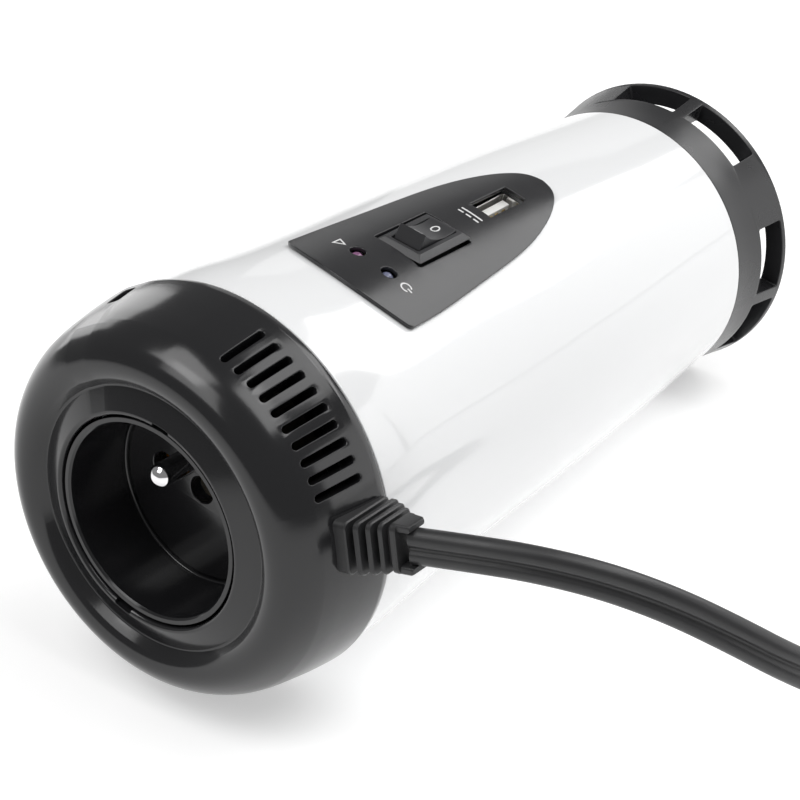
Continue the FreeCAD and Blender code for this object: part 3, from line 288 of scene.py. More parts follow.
def surface(name, colour, roughness, metallic=0.0, bump=(2500, 0.05), smudge=(60, 0.04),
            tint=None, stretch=(1, 1, 1), **sockets):
    """A procedural finish. bump is (scale, strength), smudge is (scale, change in roughness), and
    tint is (scale, second colour). Scales are per metre."""
    made = bpy.data.materials.new(name)
    made.use_nodes = True
    tree = made.node_tree
    shader = tree.nodes["Principled BSDF"]
    shader.inputs["Base Color"].default_value = (*colour, 1)
    shader.inputs["Metallic"].default_value = metallic
    for socket, value in sockets.items():
        shader.inputs[socket.replace("_", " ")].default_value = value
    coordinates = tree.nodes.new("ShaderNodeTexCoord")
    mapping = tree.nodes.new("ShaderNodeMapping")
    mapping.inputs["Scale"].default_value = stretch
    tree.links.new(coordinates.outputs["Object"], mapping.inputs["Vector"])

    def noise(scale, detail):
        texture = tree.nodes.new("ShaderNodeTexNoise")
        texture.inputs["Scale"].default_value = scale
        texture.inputs["Detail"].default_value = detail
        tree.links.new(mapping.outputs["Vector"], texture.inputs["Vector"])
        return texture.outputs["Fac"]

    spread = tree.nodes.new("ShaderNodeMapRange")
    spread.inputs["From Min"].default_value = 0.3
    spread.inputs["From Max"].default_value = 0.7
    spread.inputs["To Min"].default_value = max(roughness - smudge[1], 0.02)
    spread.inputs["To Max"].default_value = roughness + smudge[1]
    tree.links.new(noise(smudge[0], 6), spread.inputs["Value"])
    tree.links.new(spread.outputs["Result"], shader.inputs["Roughness"])
    relief = tree.nodes.new("ShaderNodeBump")
    relief.inputs["Strength"].default_value = bump[1]
    relief.inputs["Distance"].default_value = 0.0002
    tree.links.new(noise(bump[0], 4), relief.inputs["Height"])
    tree.links.new(relief.outputs["Normal"], shader.inputs["Normal"])
    if tint:
        mix = tree.nodes.new("ShaderNodeMix")
        mix.data_type = "RGBA"
        mix.inputs["A"].default_value = (*colour, 1)
        mix.inputs["B"].default_value = (*tint[1], 1)
        tree.links.new(noise(tint[0], 5), mix.inputs["Factor"])
        tree.links.new(mix.outputs["Result"], shader.inputs["Base Color"])
    return made


WHITE = surface("white_gloss", (0.765, 0.77, 0.775), 0.13, bump=(90, 0.03), smudge=(25, 0.03),
                tint=(12, (0.735, 0.74, 0.745)), Coat_Weight=0.6, Coat_Roughness=0.05)
CAP_BLACK = surface("cap_black", (0.010, 0.010, 0.011), 0.14, bump=(900, 0.02), smudge=(45, 0.03),
                    tint=(30, (0.014, 0.014, 0.015)))
GLOSS_BLACK = surface("gloss_black", (0.008, 0.008, 0.009), 0.16, bump=(300, 0.04), smudge=(50, 0.03),
                      tint=(40, (0.012, 0.012, 0.013)))
SATIN_BLACK = surface("satin_black", (0.014, 0.014, 0.015), 0.28, bump=(3000, 0.06), smudge=(60, 0.05),
                      tint=(35, (0.020, 0.020, 0.022)))
PANEL_GREY = surface("panel_grey", (0.014, 0.014, 0.015), 0.20, bump=(2600, 0.05), smudge=(80, 0.05),
                     tint=(50, (0.020, 0.020, 0.022)))
SWITCH_BLACK = surface("switch_black", (0.022, 0.022, 0.024), 0.33, bump=(5000, 0.12), smudge=(150, 0.05),
                       tint=(90, (0.032, 0.032, 0.034)))
RUBBER = surface("soft_vinyl", (0.014, 0.014, 0.015), 0.42, bump=(2600, 0.14), smudge=(120, 0.07),
                 tint=(90, (0.024, 0.024, 0.025)))
PRINT = surface("white_print", (0.72, 0.72, 0.72), 0.45, bump=(6000, 0.1), smudge=(300, 0.05),
                tint=(400, (0.6, 0.6, 0.6)))
WHITE_NYLON = surface("white_nylon", (0.82, 0.82, 0.80), 0.35, bump=(2200, 0.08), smudge=(120, 0.05),
                      tint=(200, (0.76, 0.76, 0.73)))
BEIGE = surface("beige_plastic", (0.14, 0.12, 0.09), 0.45, bump=(2600, 0.1), tint=(150, (0.11, 0.10, 0.07)))
NICKEL = surface("nickel", (0.72, 0.71, 0.70), 0.14, 1.0, bump=(900, 0.05), smudge=(300, 0.06),
                 tint=(200, (0.62, 0.61, 0.60)))
CHROME = surface("chrome", (0.86, 0.85, 0.86), 0.07, 1.0, bump=(700, 0.03), smudge=(300, 0.03),
                 tint=(200, (0.78, 0.77, 0.78)))
STEEL = surface("steel", (0.55, 0.56, 0.58), 0.3, 1.0, bump=(1500, 0.1), smudge=(200, 0.08),
                tint=(150, (0.45, 0.46, 0.48)))
BRASS = surface("brass", (0.75, 0.55, 0.22), 0.25, 1.0, bump=(1300, 0.08), smudge=(220, 0.07),
                tint=(180, (0.60, 0.42, 0.16)))
ALUMINIUM = surface("aluminium", (0.72, 0.73, 0.75), 0.35, 1.0, bump=(1200, 0.2), smudge=(100, 0.08),
                    tint=(80, (0.62, 0.63, 0.66)), stretch=(1, 0.05, 1))
BOARD = surface("circuit_board", (0.012, 0.10, 0.035), 0.28, bump=(700, 0.25), smudge=(200, 0.06),
                tint=(260, (0.02, 0.17, 0.06)))
FERRITE = surface("ferrite", (0.035, 0.035, 0.04), 0.6, bump=(2800, 0.3), smudge=(150, 0.08),
                  tint=(900, (0.06, 0.06, 0.065)))
TAPE = surface("winding_tape", (0.62, 0.42, 0.05), 0.3, bump=(260, 0.3), smudge=(80, 0.08),
               tint=(120, (0.70, 0.52, 0.10)), stretch=(0.1, 0.1, 3))
GLASS = surface("fuse_glass", (0.9, 0.92, 0.92), 0.06, bump=(300, 0.03), smudge=(80, 0.02),
                Transmission_Weight=0.9, IOR=1.5)
LENS_RED = surface("fault_lens", (0.10, 0.035, 0.085), 0.12, bump=(500, 0.05), smudge=(200, 0.04),
                   tint=(700, (0.55, 0.25, 0.48)), Transmission_Weight=0.35)
LENS_BLUE = surface("power_lens", (0.05, 0.055, 0.10), 0.12, bump=(500, 0.05), smudge=(200, 0.04),
                    tint=(700, (0.36, 0.38, 0.55)), Transmission_Weight=0.35)


# ---- cap, body and ring: profiles are (distance along the axis, radius) ----------------------------

CREASE = (2.0, 26.7)
CAP_CURVE = [CREASE, (0.1, 28.5), (-0.6, 31.2), (0.5, 33.9), (2.9, 36.1), (6.5, 37.9),
             (11.0, 38.9), (16.0, 39.7), (20.6, 40.2)]
LIP_R = 21.3
NOTCH_ANGLES = (SOCKET_ANGLE, SOCKET_ANGLE + 185.0)
NOTCH_HALF = 5.2
NOTCH_DEPTH = 0.9
VENT_BAND = (5.2, 19.6)
VENT_ANGLES = (43.75, -136.25)
VENT_COUNT = 10
VENT_PITCH = 5.06
VENT_WIDTH = 1.5
VENT_SPAN = (6.7, 17.3)
SIDE_WINDOW = (-36.0, -21.0, -31.0, -26.0, (13.0, 18.4))
BODY_CURVE = [(22.85, 39.35), (30.0, 39.45), (37.0, 39.05), (46.0, 38.35), (58.0, 37.6), (78.0, 36.8),
              (106.0, 35.7), (133.0, 34.2), (151.0, 32.85), (161.05, 32.1)]
OPENING_BAND = (47.6, 106.0)
OPENING_SPAN = (49.6, 103.9)
OPENING_HALF = 12.3
RING_CURVE = [(161.2, 31.9), (165.0, 32.0), (170.0, 32.5), (175.0, 33.25), (179.2, 33.9)]
RING_BORE = 29.4
WINDOW_BAND = (169.2, 178.85)
WINDOW_SPAN = (170.5, 178.0)
WINDOW_ANGLE = 13.5
WINDOW_WIDTH = 28.25
RIB_WIDTH = 5.5
WALL = 2.0
EDGE = 0.18     # radius of the rounding round every window
BODY_FINE = smooth(BODY_CURVE, 90)


def pierced_band(shape, outside, inside, band, cells, window, corner, counts, extra=()):
    """A band of the wall with one rounded window in each cell. outside and inside are profiles,
    band and window are (low, high) along the axis, and each cell is (start, end, window start,
    window end) in degrees, then its own window if it differs. counts is the number of stretches
    along a window's two kinds of side, and the steps of half a corner. Returns the angles at which
    the band's edges have their points."""
    side_a, side_y, arc = counts
    low, high = band
    angles, levels = [], []

    def outer(angle, y, depth=0.0):
        return around(angle, height_at(outside, y) - depth, y)

    def inner(angle, y):
        return around(angle, height_at(inside, y), y)

    shares = []
    for start, end, left, right, *own in cells:
        span = own[0] if own else window
        middle, radius = (left + right) / 2, height_at(outside, sum(span) / 2)
        scale = math.degrees(1 / radius)
        half = ((right - left) / 2 / scale, (span[1] - span[0]) / 2)
        centre_y = sum(span) / 2

        def outline(grow):
            sides = rounded_box(half[0] + grow, half[1] + grow, corner + grow, side_a, side_y, arc)
            return [[(middle + x * scale, centre_y + y) for x, y in side] for side in sides]

        sides = outline(EDGE)
        corners = [(start, low), (end, low), (end, high), (start, high)]
        rim = []
        for k, side in enumerate(sides):
            a, b = np.array(corners[k]), np.array(corners[(k + 1) % 4])
            first, last = np.array(side[0]), np.array(side[-1])
            axis = k % 2
            parts = [(point[axis] - first[axis]) / (last[axis] - first[axis]) for point in side[:-1]]
            shares = shares or ([parts] if axis else shares)
            for share in shares[0] if axis else parts:
                rim.append(tuple(a + (b - a) * share))
        bottom = len(sides[0]) - 1
        angles += [point[0] for point in rim[:bottom]]
        levels = [point[1] for point in rim[bottom:bottom + len(sides[1]) - 1]] + [high]
        edge = loop_of(sides)
        halfway = [tuple((np.array(p) + np.array(q)) / 2) for p, q in zip(rim, edge)]
        rows = [[outer(*p) for p in rim], [outer(*p) for p in halfway], [outer(*p) for p in edge]]
        for turn in (30, 60, 90):
            sine, cosine = math.sin(math.radians(turn)), math.cos(math.radians(turn))
            rows.append([outer(*p, depth=EDGE * (1 - cosine)) for p in loop_of(outline(EDGE * (1 - sine)))])
        rows += [[inner(*p) for p in loop_of(outline(0))], [inner(*p) for p in rim]]
        shape.loft(rows, start=False, end=False)
    ordered = sorted(cells)
    for cell, following in zip(ordered, ordered[1:] + [tuple(a + 360 for a in ordered[0])]):
        gap = following[0] - cell[1]
        angles.append(cell[1])
        if gap < 0.01:
            continue
        inside_gap = list(np.linspace(cell[1], following[0], max(int(gap / 2.4), 2)))
        inside_gap += [a for e in extra for a in (e, e + 360) if cell[1] < a < following[0]]
        strip = sorted(inside_gap)
        angles += strip[1:-1]
        for at in (outer, inner):
            rows = [shape.loop([at(angle, y) for angle in strip]) for y in levels]
            for first, second in zip(rows, rows[1:]):
                shape.bridge(first, second, closed=False)
    base = ordered[0][0]
    return [base + angle for angle in sorted({round((angle - base) % 360, 7) for angle in angles})]


def cap_piece():
    """The socket's cap: a rolled front, a conical lip with notches, two rows of vents and a window."""
    curve = smooth(CAP_CURVE, 60)
    outside = [point for point in curve if point[1] > 31.3]
    inside = [(4.6, 34.0), (8.5, 35.6), (26.4, 35.6)]
    cells = []
    for row in VENT_ANGLES:
        for k in range(VENT_COUNT):
            middle = row + (k - (VENT_COUNT - 1) / 2) * VENT_PITCH
            slot = math.degrees(VENT_WIDTH / 2 / height_at(outside, 12.0))
            cells.append((middle - VENT_PITCH / 2, middle + VENT_PITCH / 2, middle - slot, middle + slot))
    cells.append(SIDE_WINDOW)
    notch_edges = [angle + side for angle in NOTCH_ANGLES for side in (-5.4, -5.2, -4.9, 4.9, 5.2, 5.4)]
    shape = Shape()
    angles = pierced_band(shape, outside, inside, VENT_BAND, cells, VENT_SPAN, VENT_WIDTH / 2, (1, 6, 4),
                          notch_edges)

    def notched(radius, angle):
        near = min(abs((angle - notch + 180) % 360 - 180) for notch in NOTCH_ANGLES)
        deep = NOTCH_DEPTH if near < NOTCH_HALF - 0.1 else 0.0
        return max(radius, LIP_R + deep) if radius < LIP_R + 1.5 else radius

    low, high = VENT_BAND
    front = [(5.0, LIP_R), (0.9, LIP_R), (0.55, LIP_R + 0.06), (0.25, LIP_R + 0.25), (0.1, LIP_R + 0.55),
             (0.1, LIP_R + 1.0)]
    front += eased([(0.14, LIP_R + 1.2), (CREASE[0], CREASE[1], 0.5), curve[4]], 5)[1:]
    front += [p for p in curve[5:] if p[0] < low or p[1] < 34]
    front.append((low, height_at(outside, low)))
    shape.lathe(front, angles, shift=notched)
    back = [(high, height_at(outside, high))] + [p for p in curve if p[0] > high + 0.2]
    back += eased([back[-1], (22.5, 39.75, 0.9), (22.5, 37.2, 0.3), (26.4, 37.2, 0.4), (26.4, 35.6, 0.4),
                   (high, 35.6)], 5)[1:]
    shape.lathe(back, angles)
    rear = [(low, height_at(inside, low)), (4.6, 34.0), (2.2, 31.2), (4.4, 26.7), (5.0, 23.6), (5.0, LIP_R)]
    shape.lathe(rear, angles, shift=notched)
    return shape.make("cap", "housing", CAP_BLACK, ["socket_cap"])


def body_piece():
    """The white shell, with an opening below the control panel."""
    curve = smooth(BODY_CURVE, 90)
    inner = [(y, r - WALL) for y, r in curve]
    cells = [(PANEL_ANGLE - 19.0, PANEL_ANGLE + 19.0, PANEL_ANGLE - OPENING_HALF, PANEL_ANGLE + OPENING_HALF)]
    shape = Shape()
    angles = pierced_band(shape, curve, inner, OPENING_BAND, cells, OPENING_SPAN, 5.0, (8, 24, 5))
    low, high = OPENING_BAND
    front = eased([(low, height_at(inner, low)), (22.85, height_at(inner, 23.0), 0.2),
                   (22.85, 39.35, 0.35), (24.5, height_at(curve, 24.5))], 5)
    front += [p for p in curve if 24.6 < p[0] < low - 0.1] + [(low, height_at(curve, low))]
    shape.lathe(front[1:], angles)
    shape.lathe([(low, height_at(inner, low)), (23.4, height_at(inner, 23.4)), front[1]], angles)
    tail = [(high, height_at(curve, high))] + [p for p in curve if high + 0.2 < p[0] < 159.6]
    tail += eased([tail[-1], (161.05, 32.1, 0.35), (161.05, 30.1, 0.2),
                   (158.0, height_at(inner, 158.0))], 5)[1:]
    tail += [p for p in reversed(inner) if high + 0.2 < p[0] < 157.0] + [(high, height_at(inner, high))]
    shape.lathe(tail, angles)
    return shape.make("body", "housing", WHITE, ["body_shell"])


def ring_piece():
    """The base ring, with four pairs of windows."""
    curve = smooth(RING_CURVE, 24)
    inner = [(161.0, RING_BORE), (179.2, RING_BORE)]
    cells = []
    for pair in range(4):
        rib = WINDOW_ANGLE + 90.0 * pair
        cells.append((rib - 45.0, rib, rib - RIB_WIDTH / 2 - WINDOW_WIDTH, rib - RIB_WIDTH / 2))
        cells.append((rib, rib + 45.0, rib + RIB_WIDTH / 2, rib + RIB_WIDTH / 2 + WINDOW_WIDTH))
    shape = Shape()
    angles = pierced_band(shape, curve, inner, WINDOW_BAND, cells, WINDOW_SPAN, 0.45, (14, 5, 3))
    low, high = WINDOW_BAND
    rim = [(high, height_at(curve, high)), (179.2, 33.92, 0.3), (179.2, RING_BORE, 0.3), (high, RING_BORE)]
    shape.lathe(eased(rim, 5), angles)
    front = [p for p in curve if p[0] < low - 0.05][::-1]
    front = [(low, height_at(curve, low))] + front[:-1]
    front += eased([front[-1], (161.2, 31.9, 0.3), (161.2, 29.95, 0.2), (156.0, 30.15, 0.3),
                    (156.0, 28.5, 0.2), (161.9, 28.5), (161.9, 26.9, 0.2), (163.4, 26.9, 0.3),
                    (164.0, RING_BORE, 0.4), (low, RING_BORE)], 4)[1:]
    shape.lathe(front, angles)
    return shape.make("ring", "housing", SATIN_BLACK, ["base_ring"])


# ---- mains socket -----------------------------------------------------------------------------------

RECESS_R = 19.5
INSERT_R = 20.8
RECESS_FLOOR_Y = 15.8
FLOOR_R = 20.0
FLOOR_THICK = 3.0
HOLE_R = 2.75
PIN_OFFSET = 10.0
CONTACT_OFFSET = 9.5
FULL_TURN = [360.0 * k / 180 for k in range(180)]


def shifted(place, dx, dy, dz):
    """A placement whose origin is moved by dx, dy and dz."""
    return lambda x, y, z: place(x + dx, y + dy, z + dz)


def standing(place):
    """A placement whose y axis takes the place of the old z axis."""
    return lambda x, y, z: place(x, z, y)


def spin(shape, profile, place, count=48):
    """A profile of (along, radius) turned about the y axis of a placement, closed at both ends."""
    turns = [2 * math.pi * k / count for k in range(count)]
    shape.loft([[place(r * math.sin(t), y, r * math.cos(t)) for t in turns] for y, r in profile])


def socket_pieces():
    """The recess with its floor, and the earth pin with its domed end."""
    wall = Shape()
    back = RECESS_FLOOR_Y + 0.4
    profile = [(9.0, INSERT_R), (0.7, INSERT_R, 0.15), (0.7, RECESS_R + 0.4, 0.1), (1.1, RECESS_R, 0.2),
               (RECESS_FLOOR_Y, RECESS_R, 1.1), (RECESS_FLOOR_Y, 18.3), (back, 18.3), (back, INSERT_R),
               (9.0, INSERT_R)]
    wall.lathe(eased(profile, 5), FULL_TURN)
    wall.make("socket_well", "housing", GLOSS_BLACK, ["socket_insert"])
    holes = [circle(side * CONTACT_OFFSET, 0, HOLE_R, 40) for side in (-1, 1)]
    work = plate([circle(0, 0, FLOOR_R, 160)] + holes + [circle(0, 0, 2.7, 40)], FLOOR_THICK, 0.3)
    around_pin = turned(SOCKET_ANGLE)
    placed(work, "socket_floor_plate", lambda x, y, z: around_pin(x, RECESS_FLOOR_Y + FLOOR_THICK - z, y),
           "housing", GLOSS_BLACK, ["socket_floor"])
    pin = Shape()
    nose = smooth([(0.9, 0.0), (1.0, 0.75), (1.5, 1.6), (2.1, 2.15), (3.0, 2.4)], 14)[1:]
    spin(pin, [(0.9, 0.12)] + nose + [(15.9, 2.4)], shifted(around_pin, 0, 0, PIN_OFFSET))
    pin.make("pin", "housing", CHROME, ["earth_pin"], sharp=50)


# ---- control panel ----------------------------------------------------------------------------------

PANEL_BACK_Y = 42.8
PANEL_BOW = 29.5
PANEL_CORNER = (15.5, 47.2)
PANEL_TIP_Y = 112.0
PANEL_SIDE = [(13.85, 71.0), (12.9, 81.5), (11.5, 92.0), (9.1, 101.0), (5.9, 107.9), (2.9, 111.1)]
PANEL_LIFT = 0.05
PANEL_THICK = 0.9
SEAT = (69.8, 37.6)
SEAT_TILT = math.radians(1.2)
SEAT_LEAN = math.radians(6.0)
ROCKER_HALF = 5.4
ROCKER_WIDTH = 6.3
ROCKER_DIP = 1.25
ROCKER_REST = -13
PIN_DEPTH = 1.5
USB_Y = 95.5
LED_Y = 53.7
LED_ANGLE = 5.8
LED_R = 1.5


def over_panel(x, y, z):
    """Wraps a flat drawing of the panel onto the can. z is up from the panel's back."""
    radius = height_at(BODY_FINE, y)
    return around(PANEL_ANGLE + math.degrees(math.asin(x / radius)), radius + PANEL_LIFT + z, y)


def over_seat(x, y, z):
    """The switch's frame: z up from its seat, which leans sideways and with the can's taper."""
    across = x * math.cos(SEAT_LEAN) - z * math.sin(SEAT_LEAN)
    z = x * math.sin(SEAT_LEAN) + z * math.cos(SEAT_LEAN)
    up = z * math.cos(SEAT_TILT) - y * math.sin(SEAT_TILT)
    along = y * math.cos(SEAT_TILT) + z * math.sin(SEAT_TILT)
    return turned(PANEL_ANGLE)(across, SEAT[0] + along, SEAT[1] + up)


def gridded(work, step_x, step_y):
    """Cut a plate into a grid, so that it can be bent, and clear the odd edges inside each cell."""
    sliced(work, 0, step_x)
    sliced(work, 1, step_y)

    def cell(face):
        middle = face.calc_center_median()
        return math.floor(middle.x / step_x), math.floor(middle.y / step_y)
    work.faces.ensure_lookup_table()
    inner = []
    for edge in work.edges:
        if len(edge.link_faces) == 2:
            a, b = edge.link_faces
            if abs(a.normal.z) > 0.999 and abs(b.normal.z) > 0.999 and cell(a) == cell(b):
                inner.append(edge)
    bmesh.ops.dissolve_edges(work, edges=inner, use_verts=False)


def rounded_loop(half_x, half_y, corner, x=0.0, y=0.0, arc=3):
    return [(x + px, y + py) for px, py in loop_of(rounded_box(half_x, half_y, corner, arc=arc))]


def panel_piece():
    """The charcoal panel, bent over the shell, with its openings."""
    side = smooth([PANEL_CORNER, (15.05, 57.0)] + PANEL_SIDE + [(0.0, PANEL_TIP_Y)], 60)
    last = math.asin(PANEL_CORNER[0] / PANEL_BOW)
    turns = [last * k / 8 for k in range(8)]
    back = [(PANEL_BOW * math.sin(t), PANEL_BACK_Y + PANEL_BOW * (1 - math.cos(t))) for t in turns]
    right = back[:-1] + eased([back[-1], (*PANEL_CORNER, 1.5), side[2]], 6) + side[3:]
    outline = right + [(-x, y) for x, y in right[-2:0:-1]]
    seat = rounded_loop(5.75, 8.45, 0.3, 0, SEAT[0])
    holes = [seat, rounded_loop(2.66, 6.35, 0.35, 0, USB_Y)]
    radius = height_at(BODY_FINE, LED_Y)
    holes += [circle(s * radius * math.sin(math.radians(LED_ANGLE)), LED_Y, 1.6, 32) for s in (-1, 1)]
    work = plate([outline] + holes, PANEL_THICK, 0.16)
    gridded(work, 0.9, 2.0)
    placed(work, "panel", over_panel, "housing", PANEL_GREY, ["control_panel"])


def mark(name, outlines, place, body="housing", step=0.6):
    """A printed mark, a few hundredths of a millimetre thick."""
    work = plate(outlines, 0.05, 0.01)
    sliced(work, 0, step)
    sliced(work, 1, step)
    placed(work, name, place, body, PRINT)


def stroke(points, width, closed=False):
    """The outline of a line of the given width through the points."""
    points = [np.array(p, float) for p in points]
    left, right = [], []
    count = len(points)
    for i, here in enumerate(points):
        before = points[i - 1] if i or closed else None
        after = points[(i + 1) % count] if i < count - 1 or closed else None
        ways = ([here - before] if before is not None else []) + ([after - here] if after is not None else [])
        ways = [way / np.linalg.norm(way) for way in ways]
        way = sum(ways) / np.linalg.norm(sum(ways))
        normal = np.array((-way[1], way[0])) * width / 2 / max(way @ ways[0], 0.3)
        left.append(tuple(here + normal))
        right.append(tuple(here - normal))
    return [left, right] if closed else [left + right[::-1]]


def arc_points(angles, radius):
    """Points on a circle about the origin. Angles are from +Y towards +X."""
    turns = [math.radians(angle) for angle in angles]
    return [(radius * math.sin(turn), radius * math.cos(turn)) for turn in turns]


def panel_marks():
    """Plain symbols: a triangle, a round power mark and a direct-current sign."""
    face = shifted(over_panel, 0, 0, PANEL_THICK - 0.01)
    radius = height_at(BODY_FINE, LED_Y)
    x = radius * math.sin(math.radians(LED_ANGLE))

    fault = shifted(face, -x - 4.4, LED_Y, 0)
    power = shifted(face, x + 4.4, LED_Y, 0)
    output = shifted(face, 0, USB_Y - 10.0, 0)
    mark("fault_mark", stroke(arc_points((90, 210, 330), 1.3), 0.32, closed=True), fault)
    mark("power_mark_ring", stroke(arc_points(range(130, 411, 10), 1.05), 0.32), power)
    mark("power_mark_bar", stroke([(0.35, 0.0), (1.45, 0.0)], 0.32), power)
    mark("output_mark_line", stroke([(-2.6, 0.75), (2.6, 0.75)], 0.42), output)
    for k in (-1, 0, 1):
        dash = [(1.9 * k - 0.65, -0.55), (1.9 * k + 0.65, -0.55)]
        mark("output_mark_dash_%d" % (k + 2), stroke(dash, 0.42), output)


def led(name, side, material, node):
    """A small round lamp just below the panel's surface."""
    top = height_at(BODY_FINE, LED_Y) + PANEL_THICK - 0.4
    place = standing(shifted(turned(PANEL_ANGLE + side * LED_ANGLE), 0, LED_Y, 0))
    dome = [(top - LED_R + along, radius) for along, radius in arc_points(range(0, 88, 8), LED_R)]
    shape = Shape()
    spin(shape, [(top - 3 * LED_R, LED_R)] + dome + [(top - 0.002, 0.06)], place, 40)
    shape.make(name, "housing", material, [node])


def box_loops(place, levels):
    """Loops of rounded rectangles: each level is (z, half x, half y, corner)."""
    return [[place(x, y, z) for x, y in rounded_loop(hx, hy, corner, arc=4)] for z, hx, hy, corner in levels]


def switch_pieces():
    """The switch's frame with sloping flanges, and its rocker with a ring and a bar."""
    frame_shape = Shape()
    frame_shape.loft(box_loops(over_seat, [
        (-5.2, 3.4, 6.3, 0.2), (0.98, 3.4, 6.3, 0.2), (1.08, 3.45, 6.35, 0.22), (1.1, 3.55, 6.45, 0.3),
        (1.1, 4.33, 7.03, 0.2), (1.05, 4.43, 7.13, 0.22), (0.2, 5.58, 8.28, 0.25), (0.12, 5.65, 8.35, 0.25),
        (0.05, 5.65, 8.35, 0.25), (0.02, 5.61, 8.31, 0.25), (0.02, 4.3, 7.0, 0.3), (-13.0, 4.3, 7.0, 0.3)]))
    frame_shape.make("switch_bezel", "housing", SWITCH_BLACK, ["switch_frame"], sharp=25)
    radius = (ROCKER_HALF ** 2 + ROCKER_DIP ** 2) / 2 / ROCKER_DIP
    lean = math.radians(ROCKER_REST)

    def surface_at(y):
        return 1.4 + radius - math.sqrt(radius ** 2 - y ** 2)

    def on_rocker(x, y, z):
        """The rocker's own frame, leaning as it does at rest."""
        z += PIN_DEPTH
        along = y * math.cos(lean) - z * math.sin(lean)
        return over_seat(x, along, y * math.sin(lean) + z * math.cos(lean) - PIN_DEPTH)

    def on_top(x, y, z):
        return on_rocker(x, y, surface_at(y) + z)
    top = [(y, surface_at(y)) for y in (ROCKER_HALF - 0.54 * k for k in range(21))]
    work = plate([[(3.0, -4.0), (5.9, -0.6)] + top + [(-5.9, -0.6), (-3.0, -4.0)]], ROCKER_WIDTH, 0.2)
    sliced(work, 2, 0.9)
    placed(work, "rocker", lambda y, z, x: on_rocker(x - ROCKER_WIDTH / 2, y, z), "rocker", SWITCH_BLACK,
           ["switch_rocker"], sharp=25)
    turns = [math.radians(angle) for angle in range(0, 360, 12)]
    ring = [(0.72 * math.cos(turn), 3.0 + 1.05 * math.sin(turn)) for turn in turns]
    mark("rocker_ring", stroke(ring, 0.3, closed=True), on_top, "rocker", step=0.5)
    mark("rocker_bar", stroke([(-1.0, -3.0), (1.0, -3.0)], 0.32), on_top, "rocker", step=0.5)


def usb_pieces():
    """The port's bright shell and its white tongue."""
    place = shifted(turned(PANEL_ANGLE), 0, USB_Y, 0)
    shell = Shape()
    shell.loft(box_loops(place, [
        (21.6, 2.56, 6.25, 0.4), (35.05, 2.56, 6.25, 0.4), (35.17, 2.6, 6.29, 0.4),
        (35.2, 2.68, 6.37, 0.45), (35.2, 2.78, 6.47, 0.5), (35.15, 2.85, 6.54, 0.55),
        (35.0, 2.86, 6.55, 0.55), (21.2, 2.86, 6.55, 0.55)]))
    shell.make("usb_metal", "housing", NICKEL, ["usb_shell"], sharp=30)
    tongue = Shape()
    tongue.loft(box_loops(shifted(turned(PANEL_ANGLE), -1.05, USB_Y, 0), [
        (23.4, 0.92, 5.55, 0.15), (34.0, 0.92, 5.55, 0.15), (34.13, 0.87, 5.5, 0.15),
        (34.2, 0.78, 5.4, 0.12)]))
    tongue.loft(box_loops(place, [(21.52, 2.5, 6.2, 0.3), (23.5, 2.5, 6.2, 0.3)]))
    tongue.make("usb_insert", "housing", WHITE_NYLON, ["usb_tongue"], sharp=30)


# ---- strain relief and lead -------------------------------------------------------------------------

# each rib: inner and outer radius, start and end along the can, half its height
RELIEF_RIBS = [(32.8, 34.8, 7.6, 23.4, 6.25), (36.0, 40.9, 8.6, 21.8, 5.25), (41.9, 43.1, 9.4, 21.8, 5.25),
               (43.9, 45.0, 10.4, 21.1, 5.15), (45.8, 46.8, 11.4, 20.2, 5.05), (47.6, 48.9, 12.4, 19.2, 4.9)]


def relief_piece():
    """The ribbed sleeve, whose last collar grips the lead with two lobes."""
    place = shifted(turned(RELIEF_ANGLE), 0, RELIEF_Y, 0)
    shape = Shape()
    for inner, outer, y0, y1, half_x in RELIEF_RIBS:
        half_y = (y1 - y0) / 2
        shape.loft(box_loops(shifted(place, 0, y0 + half_y - RELIEF_Y, 0), [
            (inner, half_x - 0.25, half_y - 0.25, 1.2), (inner + 0.25, half_x, half_y, 1.3),
            (outer - 0.25, half_x, half_y, 1.3), (outer, half_x - 0.25, half_y - 0.25, 1.2)]))
    shape.loft(box_loops(place, [(30.0, 4.1, 2.6, 1.0), (36.0, 4.3, 3.6, 1.2), (42.0, 4.2, 3.2, 1.2),
                                 (48.4, 4.0, 2.5, 1.2)]))
    for side in (-1, 1):
        shape.loft(box_loops(shifted(place, side * 4.1, 0, 0), [
            (48.5, 0.8, 2.7, 0.5), (51.0, 0.75, 2.5, 0.5), (51.4, 0.5, 2.2, 0.4)]))
    shape.make("relief", "housing", RUBBER, ["strain_relief"])


ROUTE_OUT = [(49.5, -73.2, 47.7), (59.7, -71.2, 49.2), (71.0, -67.1, 49.4), (81.7, -61.1, 47.0),
             (91.3, -53.9, 41.9), (99.4, -46.1, 34.8), (105.7, -37.7, 26.8), (110.3, -27.8, 18.8),
             (112.6, -16.9, 11.6), (112.8, -5.1, 6.2), (111.2, 7.0, 3.2), (108.9, 19.1, 2.2),
             (107.2, 31.0, 2.3), (106.7, 43.0, 2.5)]
ROUTE_IN = [(186.7, 43.0, 6.5), (187.0, 34.5, 6.8), (187.1, 25.8, 8.4), (187.1, 17.0, 11.0),
            (187.0, 8.3, 12.9)]
COIL_CENTRE = (146.7, 43.0)
COIL_R = 40.0
COIL_STEPS = 16


